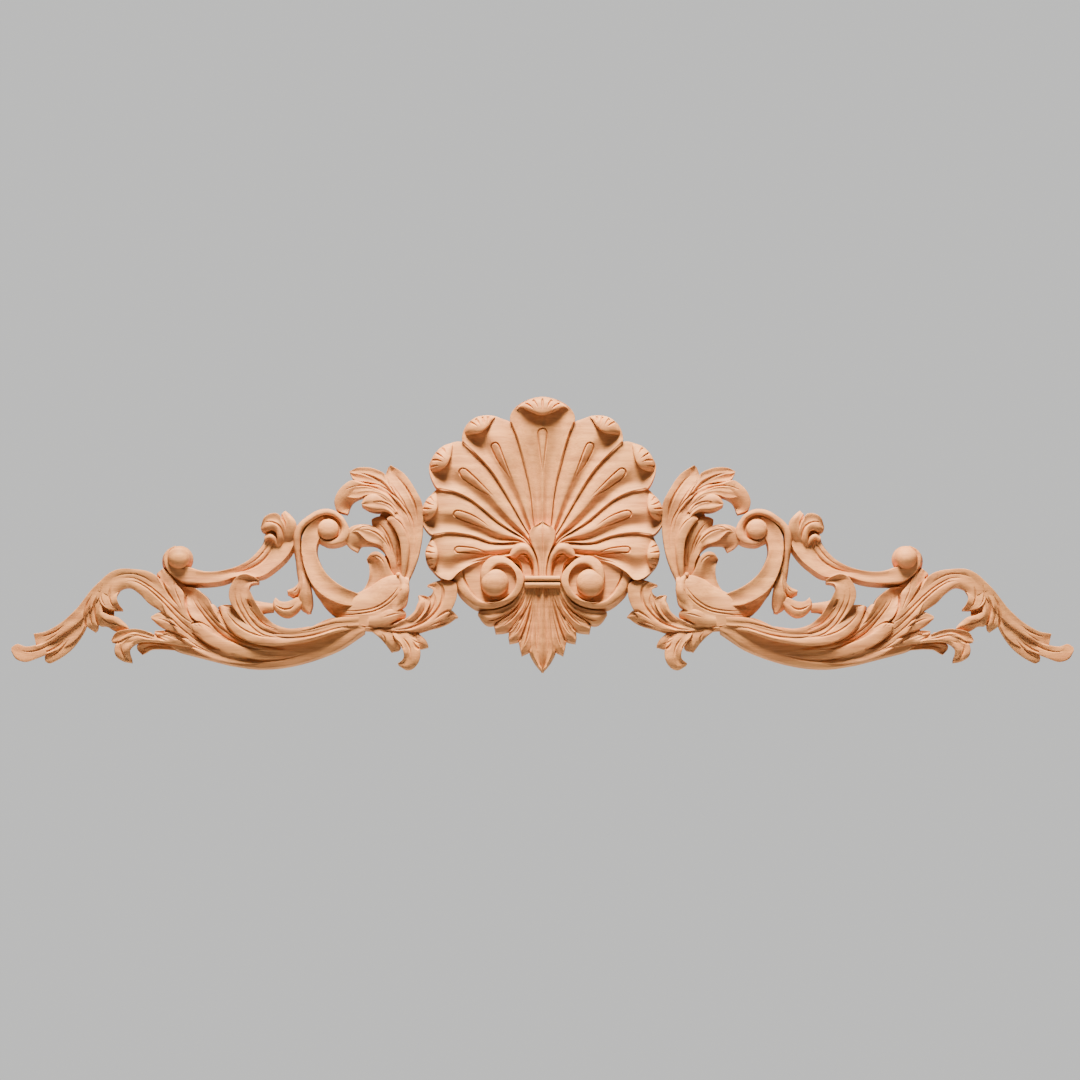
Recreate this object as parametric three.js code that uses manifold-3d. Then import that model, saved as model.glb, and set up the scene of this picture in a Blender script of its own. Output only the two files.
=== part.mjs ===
// Carved wood scroll ornament: a ribbed shell with two volutes in the middle, and on each
// side a wing of acanthus leaves and C-scrolls. It is one carved piece with a flat back.
//
// Frame: millimetres, +Z up, the front faces -Y, the flat back lies in the plane y = 0,
// and the origin is the middle of the back.

import * as THREE from 'three';
import Module from 'manifold-3d';

const wasm = await Module();
wasm.setup();

// Driving dimensions, in millimetres and degrees
const LENGTH = 1220;
const DRAWN_LENGTH = 1060;
const WALL_DRAFT = 8;
const VIEW_BELOW = 7;
const TIP_WIDTH = 1.2;
const TIP_CROWDING = 0.5;
const FULL_RELIEF_WIDTHS = 6;
const SHORTEST_EDGE = 1;
const SAME_PLANE = 0.998;
const TURN_ALLOWED = 0.5;
const ON_BACK = 0.001;
const WOOD = 0xd9a97f;

// Heights of the carving over the back, in millimetres
const EDGE = 11;
const LOW = 15;
const LEAF = 19;
const HIGH = 23;
const BAND = 26;
const BOLD = 30;
const CREST = 34;
const DEPTH = 36;

// The carving is drawn on a grid that is DRAWN_LENGTH long over all. A drawn point is
// [across, up], where across runs outward from the middle line of the ornament.
const RISE = Math.tan(THREE.MathUtils.degToRad(VIEW_BELOW));
const FLARE = Math.tan(THREE.MathUtils.degToRad(WALL_DRAFT));
const UNIT = (LENGTH - 2 * EDGE * FLARE) / DRAWN_LENGTH;

// Sections across a leaf, from its first edge at 0 to its second edge at 1.
// Each gives how much of the relief is cut away there.
const SECTIONS = {
  flat: () => 0,
  round: (v) => (2 * v - 1) ** 2,
  hollow: (v) => 1 - (2 * v - 1) ** 2,
  ridge: (v) => Math.abs(2 * v - 1),
};

const along = (values, u) => {
  const place = u * (values.length - 1);
  const index = Math.min(Math.floor(place), values.length - 2);
  return THREE.MathUtils.lerp(values[index], values[index + 1], place - index);
};

// Stations along a leaf lie closer together toward its tip, where it turns most
const stationShare = (t) => t + TIP_CROWDING * t * (1 - t);

// A curve on the grid through a few points, from the root of a leaf to its tip
const edgeCurve = (points) =>
  new THREE.CatmullRomCurve3(
    points.map(([across, up]) => new THREE.Vector3(across * UNIT, 0, up * UNIT)),
    false,
    'centripetal',
  );

// The front is drawn as seen from a little below, so a point at a height stands lower
const lift = (point, height) => [point.x, -height, point.z - height * RISE];

function solidFrom(vertices, triangles) {
  let volume = 0;
  for (let i = 0; i < triangles.length; i += 3) {
    const [p, q, r] = [0, 1, 2].map((k) => new THREE.Vector3(...vertices[triangles[i + k]]));
    volume += p.dot(q.cross(r));
  }
  const faces = volume > 0 ? triangles : triangles.map((_, i) => triangles[i - (i % 3) + 2 - (i % 3)]);
  return new wasm.Manifold(
    new wasm.Mesh({
      numProp: 3,
      vertProperties: new Float32Array(vertices.flat()),
      triVerts: new Uint32Array(faces),
    }),
  );
}

// A solid over a run of rings of points, each ring closed on itself, with flat ends
function loft(rings) {
  const count = rings[0].length;
  const vertices = rings.flat();
  const triangles = [];
  for (let i = 0; i + 1 < rings.length; i += 1) {
    for (let j = 0; j < count; j += 1) {
      const k = (j + 1) % count;
      const [a, b] = [i * count + j, i * count + k];
      triangles.push(a, b, b + count, a, b + count, a + count);
    }
  }
  const last = (rings.length - 1) * count;
  for (let j = 1; j + 1 < count; j += 1) {
    triangles.push(0, j + 1, j);
    triangles.push(last, last + j, last + j + 1);
  }
  return solidFrom(vertices, triangles);
}

// A leaf, lobe or band between two edges. Its heights run from root to tip, its section
// goes across, and its walls spread a little down to the back.
function blade(first, second, heights, section = 'round', relief = 3, steps = 6, parts = 2) {
  const [edgeA, edgeB] = [edgeCurve(first), edgeCurve(second)];
  const across = new THREE.Vector3();
  const rings = [];
  for (let i = 0; i <= steps; i += 1) {
    const u = stationShare(i / steps);
    const a = edgeA.getPointAt(u);
    const b = edgeB.getPointAt(u);
    const width = a.distanceTo(b);
    if (width > TIP_WIDTH) {
      across.copy(b).sub(a).normalize();
    } else {
      const middle = a.clone().add(b).multiplyScalar(0.5);
      a.copy(middle).addScaledVector(across, -TIP_WIDTH / 2);
      b.copy(middle).addScaledVector(across, TIP_WIDTH / 2);
    }
    const height = along(heights, u);
    const depth = Math.min(relief, width / FULL_RELIEF_WIDTHS);
    const ring = [];
    for (let j = 0; j <= parts; j += 1) {
      const v = j / parts;
      const top = height - depth * SECTIONS[section](v);
      ring.push(lift(a.clone().lerp(b, v), top));
    }
    const spread = height * FLARE;
    const drop = height * RISE;
    const ahead = edgeA.getTangentAt(u).add(edgeB.getTangentAt(u)).normalize();
    const push = i === steps ? spread : 0;
    const footB = b.clone().addScaledVector(across, spread).addScaledVector(ahead, push);
    const footA = a.clone().addScaledVector(across, -spread).addScaledVector(ahead, push);
    ring.push([footB.x, 0, footB.z - drop], [footA.x, 0, footA.z - drop]);
    rings.push(ring);
  }
  return loft(rings);
}

// A ball that stands out of its scroll on a short drafted wall
function ball([across, up], radius, base, top, sides = 12, bands = 3) {
  const centre = new THREE.Vector3(across * UNIT, 0, up * UNIT);
  const rings = [];
  const profile = [];
  for (let i = 0; i <= bands; i += 1) {
    const angle = (i / bands) * (Math.PI / 2);
    const r = Math.max(radius * UNIT * Math.cos(angle), TIP_WIDTH);
    profile.push([r, base + (top - base) * Math.sin(angle)]);
  }
  const [wall] = profile;
  const foot = [wall[0] + base * FLARE, base];
  for (const [r, height] of [foot, ...profile]) {
    const ring = [];
    for (let j = 0; j < sides; j += 1) {
      const turn = (j / sides) * 2 * Math.PI;
      const point = new THREE.Vector3(Math.cos(turn) * r, 0, Math.sin(turn) * r).add(centre);
      ring.push(lift(point, height));
    }
    rings.push(ring);
  }
  rings[0].forEach((point) => point.splice(1, 1, 0));
  return loft(rings);
}

const mirrorPoints = (points) => points.map(([across, up]) => [-across, up]);

// One half of the ornament, on its own side or mirrored to the other
const remade = (solid, hand) => {
  const { numProp, vertProperties, triVerts } = solid.getMesh();
  const vertices = [];
  for (let i = 0; i < vertProperties.length; i += numProp) {
    vertices.push([hand * vertProperties[i], vertProperties[i + 1], vertProperties[i + 2]]);
  }
  return solidFrom(vertices, Array.from(triVerts));
};

// Shell: five lobes on each half, between seams that run from the hub to the rim
const SEAMS = [
  [[8, 8], [12, 42], [19, 74], [27, 100], [32, 112]],
  [[14, 0], [30, 28], [52, 63], [66, 79], [80, 91]],
  [[18, -6], [43, 10], [73, 34], [88, 41], [104, 44]],
  [[22, -10], [50, -10], [71, -3], [92, 0], [110, -2]],
  [[24, -22], [51, -26], [68, -30], [83, -39], [90, -45]],
];
const LOBE_RIMS = [
  { upper: [[50, 118.5]], tip: [63, 118], lower: [[79, 102], [74.5, 111]] },
  { upper: [[95, 89]], tip: [107, 80], lower: [[112.5, 58], [112.5, 70]] },
  { upper: [[113, 36]], tip: [119.5, 25], lower: [[115, 3], [120, 12]] },
  { upper: [[115, -12]], tip: [117, -22], lower: [[103, -43], [113, -32]] },
];

function shell() {
  const solids = [];
  const middle = [...SEAMS[0], [30, 121], [21, 131], [9, 136], [0, 137]];
  const rise = [LEAF, HIGH, BAND, CREST, BOLD];
  solids.push(blade(middle, mirrorPoints(middle), rise, 'hollow', 4, 7, 4));
  LOBE_RIMS.forEach(({ upper, tip, lower }, index) => {
    const first = [...SEAMS[index], ...upper, tip];
    const second = [...SEAMS[index + 1], ...lower, tip];
    solids.push(blade(first, second, [LEAF, HIGH, HIGH, BAND, CREST, BOLD], 'hollow', 3, 7, 3));
  });
  return solids;
}

// Volute under the shell, with its ball
function volute() {
  const outer = [
    [90, -43], [85, -53], [77.6, -64.5], [65, -73.7], [52, -75.6], [37.4, -71.8], [26.4, -63.8],
    [20, -54.3], [18.4, -47], [20.6, -40], [31, -28], [46, -22.8], [58.8, -31.4], [61.4, -43],
    [57.6, -57.6],
  ];
  const inner = [
    [79.4, -38], [78, -46.5], [70.3, -60], [59, -68.2], [47, -69.4], [34, -63], [28.8, -57],
    [26, -48], [28.2, -38], [37.6, -31.4], [45, -32], [50.8, -39], [49.5, -48],
  ];
  return [
    blade(
      [[52, -20], [84, -36], [82, -48], [75, -60], [62, -70], [48, -72]],
      [[40, -24], [28, -34], [24, -46], [26, -58], [34, -66], [44, -71]],
      [HIGH, LEAF, LEAF, LEAF],
      'flat', 0, 5, 1,
    ),
    blade(outer, inner, [LEAF, HIGH, BAND, BAND, BOLD, BOLD, BOLD, BOLD, BAND], 'round', 2, 20, 2),
    ball([47.4, -49.8], 13.4, HIGH, DEPTH, 10, 3),
  ];
}

// Flower between the volutes, with two bars under it
function flower() {
  const hub = [[16, -58], [24, -30], [22, -5], [10, 40]];
  const petal = [[4, -46], [6, -25], [12, -8], [13, 0], [8, 8], [0, 12]];
  return [
    blade(hub, mirrorPoints(hub), [LEAF, LEAF, HIGH], 'flat', 0, 4, 1),
    blade(petal, mirrorPoints(petal), [BAND, BOLD, BOLD, BAND], 'ridge', 3, 6, 2),
  ];
}

function flowerSides() {
  return [
    blade(
      [[4, -46], [4, -31], [8, -19], [16, -10.5], [26, -11], [32, -18]],
      [[13, -46], [11, -32], [13, -24], [19, -20.5], [26, -24], [31, -22]],
      [HIGH, BAND, BAND, BOLD],
      'round', 2, 6, 2,
    ),
    blade(
      [[0, -43.2], [17.5, -43.2]],
      [[0, -47.6], [17.5, -47.6]],
      [CREST, CREST],
      'round', 2, 1, 2,
    ),
    blade([[0, -49.4], [17.5, -49.4]], [[0, -54], [17.5, -54]], [CREST, BOLD], 'round', 2, 1, 2),
  ];
}

// Palmette that hangs below the bars
function palmette() {
  const middle = [[9, -55], [13, -75], [13.5, -100], [12, -120], [7, -130], [0, -138]];
  return [blade(middle, mirrorPoints(middle), [BAND, HIGH, LEAF, EDGE], 'ridge', 4, 6, 2)];
}

function palmetteSides() {
  const leaves = [
    [
      [[17, -54], [28, -74], [47, -80], [64, -81]],
      [[12, -60], [24, -80], [40, -90], [54, -91.5], [62.5, -84]],
    ],
    [[[14, -58], [28, -80], [42, -88], [48, -92.5]], [[10, -62], [18, -80], [32, -96], [46, -100]]],
    [
      [[12, -58], [20, -78], [30, -92], [34, -101]],
      [[8, -62], [12, -85], [22, -105], [32, -109.5]],
    ],
    [[[9, -58], [15, -80], [22, -103], [23, -112]], [[5, -62], [7, -90], [12, -113], [20, -122]]],
  ];
  const fall = [BAND, HIGH, LEAF, EDGE];
  return leaves.map(([first, second]) => blade(first, second, fall, 'ridge', 3, 4, 2));
}

// Tall leaf beside the shell: a stem with five hooked lobes on its outer side
function tallLeaf() {
  return [
    blade(
      [[133, -48], [127, -30], [122, -4], [123, 26], [134, 44], [150, 54]],
      [[170, -50], [158, -34], [155, -14], [160, 4], [160, 18], [160, 38]],
      [LEAF, LOW, LOW, LOW, LOW],
      'flat', 0, 5, 1,
    ),
    blade(
      [[134, -50], [126, -30], [119.5, 0], [120, 28], [130, 50], [143, 63], [152, 68.5]],
      [[144, -42], [141, -20], [144, 2], [150, 22], [156, 42], [157, 55], [154, 65]],
      [HIGH, BAND, BAND, BOLD, HIGH],
      'ridge', 4, 7, 2,
    ),
    blade(
      [[128, 20], [140, 46], [157, 60], [174, 66], [186, 65.5], [192.7, 62]],
      [[138, 10], [154, 36], [170, 48], [182, 52], [189, 54.5], [192, 60]],
      [HIGH, BAND, BAND, LEAF],
      'round', 3, 5, 2,
    ),
    blade(
      [
        [126, 5], [142, 36], [160, 50], [180, 51.5], [194, 51], [205, 41], [207.5, 29], [202, 21],
        [195, 19],
      ],
      [[140, 0], [150, 22], [163, 37], [176, 38], [187, 34.5], [191, 29], [193, 23], [194.5, 20.5]],
      [HIGH, BAND, BOLD, BOLD, HIGH],
      'hollow', 3, 8, 2,
    ),
    blade(
      [[128, 0], [142, 28], [158, 36], [172, 37], [179.5, 31]],
      [[139, -5], [148, 15], [160, 21.5], [172, 23.5], [180, 28]],
      [HIGH, BAND, CREST, BOLD],
      'round', 3, 4, 2,
    ),
    blade(
      [[124, -15], [130, 8], [143, 20], [152, 19], [155, 14]],
      [[140, -38], [141, -14], [146, 0], [152, 9], [155, 12]],
      [HIGH, BOLD, BOLD, BAND],
      'round', 3, 4, 2,
    ),
    blade(
      [[141, -25], [149, -5], [158, 8], [165, 14], [170.4, 14.3]],
      [[145, -32], [156, -8], [164, 2], [169, 6], [170.8, 11]],
      [LEAF, HIGH, HIGH, LEAF],
      'round', 2, 4, 2,
    ),
    blade(
      [[142, -38], [152, -12], [165, 4], [178, 8.7], [191, 6], [196.5, -4], [193, -13], [185, -19]],
      [
        [150, -38], [156, -20], [163, -12], [171, -11], [178, -7], [182, -9], [182, -14],
        [184, -18],
      ],
      [LEAF, HIGH, HIGH, HIGH, LEAF],
      'hollow', 2, 7, 2,
    ),
    blade(
      [[140, -48], [148, -33], [157, -23], [167, -18.4], [175, -25]],
      [[183, -61], [176, -51], [173, -38], [174, -30], [175.4, -26.5]],
      [HIGH, LEAF, HIGH, LEAF],
      'hollow', 3, 4, 2,
    ),
  ];
}

// Lower leaves beside the volute: the stem under the C-scroll and a sickle that turns back
function lowerLeaves() {
  return [
    blade(
      [[134, -46], [150, -50], [170, -57], [186, -60], [205, -68]],
      [[133, -60], [138, -76], [152, -88], [170, -96], [205, -86]],
      [HIGH, HIGH, HIGH],
      'round', 3, 4, 2,
    ),
    blade(
      [[170, -84], [155, -77], [147, -75.4], [140, -76.5], [136, -80]],
      [[172, -97], [155, -92], [145, -88.5], [139, -86.5], [136.5, -84]],
      [HIGH, BAND, LEAF],
      'round', 3, 4, 2,
    ),
    blade(
      [
        [170, -92], [147, -89], [134, -84], [125, -75], [122, -65], [113, -65], [108.5, -61],
        [112, -55.5], [115, -53],
      ],
      [
        [172, -99], [147, -99.5], [120, -98], [102, -91], [91, -79], [86, -66], [87.5, -54],
        [103, -47.3], [114, -51.5],
      ],
      [LEAF, HIGH, HIGH, HIGH, LEAF],
      'hollow', 3, 8, 2,
    ),
    blade(
      [[125, -92], [110, -84], [98, -79], [90.4, -77.6], [84.5, -83.5]],
      [[124, -101], [109, -96], [96, -92.5], [88, -87], [84.5, -85]],
      [LEAF, LEAF, EDGE],
      'ridge', 2, 4, 2,
    ),
    blade(
      [[172, -96], [165.7, -102], [157, -111], [151, -119.5]],
      [[134, -98], [135, -108], [141, -116], [149, -119.5]],
      [LOW, LEAF, EDGE],
      'ridge', 3, 3, 2,
    ),
    blade(
      [[150, -97], [143, -108], [139.5, -120], [141, -128.6], [144.7, -131]],
      [[126, -97], [122, -112], [121.5, -122], [126, -133], [135, -137.7], [143, -133]],
      [LOW, LEAF, EDGE],
      'hollow', 2, 4, 2,
    ),
    blade(
      [[138, -98], [129, -108], [123, -116.5], [115, -115]],
      [[127, -97], [122, -102.3], [117, -107], [114, -113]],
      [LOW, LEAF, EDGE],
      'ridge', 2, 3, 2,
    ),
  ];
}

// C-scroll: a band that coils round a ball at its upper end
function cScroll() {
  return [
    blade(
      [
        [245, 6], [249, -12], [246, -28], [240, -44], [229, -60], [215, -72], [200, -79],
        [183, -78],
      ],
      [[225, 2], [225, -15], [221, -32], [210, -45.5], [197, -55], [183, -60.5]],
      [LEAF, BAND, BAND, BAND, HIGH],
      'hollow', 2, 6, 2,
    ),
    blade(
      [
        [249, -10], [245, 6], [235, 16.5], [223, 23.4], [211, 24], [201, 18], [194.5, 8], [195, -4],
        [203, -10.5], [214, -12], [224, -9],
      ],
      [
        [232, -12], [236, 2], [230, 11], [221, 17], [212, 17.5], [205, 13], [201.5, 6], [203, -1],
        [208, -5], [214, -7], [222, -7],
      ],
      [BAND, BAND, BOLD, BOLD, BAND],
      'round', 2, 10, 2,
    ),
    ball([217, 3], 17, LOW, LEAF, 8, 1),
    ball([214, 4.5], 9.5, LEAF, BOLD, 8, 2),
    blade(
      [[246, -22], [243.7, -38], [243.5, -49], [248, -55], [254.3, -58]],
      [[232, -28], [233, -48], [238, -60], [246, -66], [254, -61]],
      [HIGH, LEAF, LOW],
      'ridge', 2, 4, 2,
    ),
    blade(
      [[240, -50], [248, -62], [242, -72], [237, -79], [233, -80]],
      [[231, -50], [230, -62], [230, -72], [231, -78], [232, -80]],
      [HIGH, LEAF, LOW],
      'ridge', 2, 3, 2,
    ),
  ];
}

// Long scroll that runs outward from the C-scroll and coils round a ball, with its leaves
function longScroll() {
  return [
    blade(
      [
        [280, 5], [277, -6], [281, -14], [290, -24.5], [303, -32.5], [319, -37.5], [339, -38.3],
        [353, -34],
      ],
      [[246, -4], [252, -20], [266, -36], [288, -44], [311, -47], [335, -51], [360, -48]],
      [LOW, LEAF, HIGH, HIGH, HIGH, HIGH],
      'hollow', 2, 7, 2,
    ),
    blade(
      [[351, -35.5], [362, -38], [371, -35], [375.5, -27], [372, -18.5], [365, -14.5]],
      [[345, -50.5], [361, -48], [373, -40], [378.3, -28], [375, -17], [366, -13]],
      [HIGH, HIGH, HIGH],
      'round', 1, 6, 2,
    ),
    ball([364.5, -24.7], 11.8, LEAF, BOLD, 10, 3),
    blade(
      [[247, -12], [244.5, 2], [246.5, 11.5], [251.5, 18.5], [257, 22.4]],
      [[262, -8], [258, 4], [258.5, 12], [260.5, 17.5], [259.5, 20.5]],
      [BAND, BAND, LEAF],
      'round', 3, 4, 2,
    ),
    blade(
      [[250, -12], [257, 6], [261, 17], [268, 20], [276, 17], [281, 8]],
      [[266, -8], [266, 0], [269, 5], [274, 4.5], [278, 2], [281, 5]],
      [BAND, BAND, LEAF],
      'hollow', 3, 5, 2,
    ),
    blade(
      [
        [235, -108], [262, -106], [288, -98], [304, -84], [311.5, -70], [312, -58], [308, -46],
        [299.5, -41.7], [290, -42.7], [282.5, -47],
      ],
      [
        [232, -94], [255, -96], [272, -89], [282, -80], [286, -68], [291, -60], [292.3, -54.5],
        [290, -51.5], [286.5, -50.4], [283, -50],
      ],
      [HIGH, LEAF, HIGH, BAND, LEAF],
      'hollow', 4, 8, 2,
    ),
    blade(
      [[294, -66], [280, -68.5], [266.5, -66], [252, -68], [240, -66]],
      [[288, -83], [277, -80], [264, -82.5], [252, -85], [241, -76]],
      [LEAF, LEAF, LEAF],
      'ridge', 3, 4, 2,
    ),
  ];
}

// Big lower leaf of the wing: it runs outward along the bottom and frays into fingers
function wingLeaf() {
  return [
    blade(
      [
        [176, -93], [207, -85], [245, -100], [280, -100], [308, -88], [326, -72], [343, -59],
        [368, -46],
      ],
      [
        [177, -98], [204, -117], [244, -131], [280, -135.6], [310, -132], [340, -124], [362, -118],
        [378, -105],
      ],
      [HIGH, LOW, LOW, LOW, LOW],
      'hollow', 2, 8, 2,
    ),
    blade(
      [
        [192, -86], [207, -84], [225, -92], [253, -97], [275, -92], [295, -78], [311, -72.5],
        [320, -72],
      ],
      [
        [184, -94], [205, -99], [233, -107], [270, -112], [299, -105.5], [314, -93], [321, -82],
        [322.5, -75],
      ],
      [HIGH, HIGH, HIGH, LEAF],
      'hollow', 3, 7, 2,
    ),
    blade(
      [[300, -112], [318, -100], [331, -84], [334, -69], [345, -57], [360, -53.5]],
      [[310, -118], [330, -106], [347, -89], [354, -79], [356, -66], [361, -57]],
      [LOW, LEAF, HIGH, LOW],
      'hollow', 3, 5, 2,
    ),
    blade(
      [[320, -112], [340, -98], [354, -82], [366, -64], [367, -52], [372, -38], [378.5, -35.5]],
      [[330, -119], [350, -107], [364, -92], [376, -68], [384, -46], [383.5, -38]],
      [LOW, LEAF, HIGH, LEAF],
      'round', 2, 6, 2,
    ),
    blade(
      [[322, -71.5], [330, -72], [334, -68]],
      [[321, -90], [330, -88], [337, -76]],
      [LEAF, LEAF, LEAF],
      'ridge', 1, 2, 2,
    ),
  ];
}

// Outer end of the wing: an arch over an opening, with curls under it and the end leaf
function wingEnd() {
  return [
    blade(
      [[345, -68], [364, -58], [384, -43.5], [399, -36.5], [421, -36.5], [437, -44], [448, -56]],
      [[350, -102], [366, -90], [382, -78], [396, -68], [409, -56], [420, -57], [426, -68]],
      [LOW, LEAF, HIGH, HIGH, LEAF],
      'round', 3, 7, 2,
    ),
    blade(
      [[441, -50], [441, -64], [437.5, -71], [430, -77.5], [419, -78]],
      [[421, -57], [424.3, -63], [423.5, -68], [421, -73.5], [418, -76]],
      [HIGH, HIGH, LOW],
      'ridge', 2, 4, 2,
    ),
    blade(
      [[438, -52], [440, -70], [437, -80], [425, -84], [416, -90.7], [412.3, -95]],
      [[450, -58], [449, -78], [443, -92], [435, -93.5], [426, -98.5], [413, -97]],
      [HIGH, LEAF, LEAF],
      'hollow', 2, 5, 2,
    ),
    blade(
      [[450, -60], [455, -76], [456, -91], [451, -96], [447, -99]],
      [[444, -64], [446, -80], [442.5, -93], [443.5, -97], [446, -99.3]],
      [LEAF, LEAF, EDGE],
      'ridge', 2, 4, 2,
    ),
    blade(
      [[436, -44], [450, -57.5], [463, -74.5], [478, -89.5], [495, -99], [508, -101.5]],
      [[446, -60], [456, -80], [470, -96], [485, -105.5], [497, -111], [506, -111.5]],
      [HIGH, LEAF, LEAF, EDGE],
      'ridge', 3, 5, 2,
    ),
    blade(
      [[454, -78], [472, -93], [492, -104], [514, -113.5], [526, -110.5], [530, -117]],
      [[452, -90], [463, -108], [480, -117], [496, -122], [512, -128.5], [526, -126], [530, -119]],
      [LEAF, LEAF, LOW, EDGE],
      'hollow', 2, 6, 2,
    ),
    blade(
      [[456, -82], [466, -99], [478, -110], [488, -118], [493, -121.5], [496.5, -125]],
      [[452, -88], [457, -103], [466, -118], [480, -125.5], [488, -129.5], [495.5, -130]],
      [LEAF, LOW, EDGE],
      'hollow', 2, 4, 2,
    ),
    blade(
      [[365, -98], [387, -101.5], [401, -96.5], [413, -96.5], [425.4, -100], [430, -107.5]],
      [[365, -112], [384, -110], [401, -109.5], [412, -110.5], [421, -111.5], [429, -110]],
      [LOW, LEAF, HIGH, LOW],
      'hollow', 2, 5, 2,
    ),
    blade(
      [[392, -99], [410, -99], [422, -107], [426.3, -117], [422, -127], [409, -131]],
      [[388, -109], [401, -109.5], [409, -113.5], [411, -118.5], [410, -124], [408, -129]],
      [LEAF, HIGH, LEAF, EDGE],
      'round', 2, 5, 2,
    ),
    blade(
      [[372, -108], [388, -108], [402, -109.5], [404.5, -116], [400, -121.5]],
      [[370, -118], [381, -117], [390, -117.5], [395, -120.5], [398.5, -122.5]],
      [LOW, LEAF, EDGE],
      'ridge', 2, 3, 2,
    ),
    blade(
      [[358, -68], [372, -75], [382.5, -79.5], [390.3, -84]],
      [[352, -102], [366, -99], [378, -96.5], [386, -89.5], [390, -86]],
      [LOW, HIGH, LOW],
      'ridge', 2, 3, 2,
    ),
    blade(
      [[352, -94], [366, -96], [377, -97.7], [386.5, -98.5]],
      [[352, -114], [366, -111], [378, -107], [386.6, -101]],
      [LOW, LEAF, LOW],
      'ridge', 2, 3, 2,
    ),
  ];
}

function carving() {
  const half = [
    ...flowerSides(),
    ...palmetteSides(),
    ...volute(),
    ...tallLeaf(),
    ...lowerLeaves(),
    ...cScroll(),
    ...longScroll(),
    ...wingLeaf(),
    ...wingEnd(),
  ];
  const [middleLobe, ...sideLobes] = shell();
  const side = [...half, ...sideLobes].reduce((sum, solid) => sum.add(solid));
  const centre = [middleLobe, ...flower(), ...palmette()].reduce((sum, solid) => sum.add(solid));
  return centre.add(remade(side, 1)).add(remade(side, -1));
}

// The joins leave short edges, and points in flat places that nothing needs. Each is drawn
// into a neighbour where the surface stays closed and no face turns over.
function cleaned(points, triangles) {
  const faces = [];
  const uses = points.map(() => new Set());
  for (let i = 0; i < triangles.length; i += 3) {
    const face = Array.from(triangles.slice(i, i + 3));
    face.forEach((corner) => uses[corner].add(faces.length));
    faces.push(face);
  }
  const onBack = (corner) => Math.abs(points[corner].y) < ON_BACK;
  const normalOf = ([p, q, r]) =>
    new THREE.Triangle(points[p], points[q], points[r]).getNormal(new THREE.Vector3());
  const around = (corner) => {
    const found = new Set([...uses[corner]].flatMap((face) => faces[face]));
    found.delete(corner);
    return found;
  };
  const canMove = (from, to) => {
    const near = around(to);
    if ([...around(from)].filter((corner) => near.has(corner)).length !== 2) return false;
    return [...uses[from]].every((index) => {
      const face = faces[index];
      if (face.includes(to)) return true;
      const after = normalOf(face.map((corner) => (corner === from ? to : corner)));
      return normalOf(face).dot(after) > TURN_ALLOWED;
    });
  };
  const move = (from, to) => {
    for (const index of uses[from]) {
      if (faces[index].includes(to)) {
        faces[index].forEach((corner) => corner !== from && uses[corner].delete(index));
        faces[index] = null;
      } else {
        faces[index] = faces[index].map((corner) => (corner === from ? to : corner));
        uses[to].add(index);
      }
    }
    uses[from].clear();
  };
  let moved = true;
  while (moved) {
    moved = false;
    for (let from = 0; from < points.length; from += 1) {
      if (uses[from].size === 0) continue;
      const normals = [...uses[from]].map((face) => normalOf(faces[face]));
      const spare = normals.every((normal) => normal.dot(normals[0]) > SAME_PLANE);
      const target = [...around(from)].find((to) => {
        const short = points[from].distanceTo(points[to]) < SHORTEST_EDGE;
        if (!spare && !(short && (onBack(to) || !onBack(from)))) return false;
        return canMove(from, to);
      });
      if (target === undefined) continue;
      move(from, target);
      moved = true;
    }
  }
  return faces.filter((face) => face !== null);
}

function toGeometry(solid) {
  const { numProp, vertProperties, triVerts } = solid.getMesh();
  const points = [];
  for (let i = 0; i < vertProperties.length; i += numProp) {
    const point = new THREE.Vector3().fromArray(vertProperties, i);
    if (Math.abs(point.y) < ON_BACK) point.y = 0;
    points.push(point);
  }
  const faces = cleaned(points, triVerts);
  const kept = [...new Set(faces.flat())];
  const place = new Map(kept.map((corner, index) => [corner, index]));
  const geometry = new THREE.BufferGeometry();
  geometry.setFromPoints(kept.map((corner) => points[corner]));
  geometry.setIndex(faces.flat().map((corner) => place.get(corner)));
  geometry.computeVertexNormals();
  return geometry;
}

const wood = new THREE.MeshStandardMaterial({ color: WOOD, roughness: 0.7, metalness: 0 });
const ornament = new THREE.Mesh(toGeometry(carving()), wood);
ornament.name = 'shell_and_scroll_carving';

const part = new THREE.Group();
part.add(ornament);

export default part;
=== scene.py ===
"""Looks of the carved wood scroll ornament: the same leaves, scrolls and shell as the solid,
carved finely, in bare sanded wood, hung above a pale floor."""

import math

import bpy
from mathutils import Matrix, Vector
from mathutils.bvhtree import BVHTree


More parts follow.
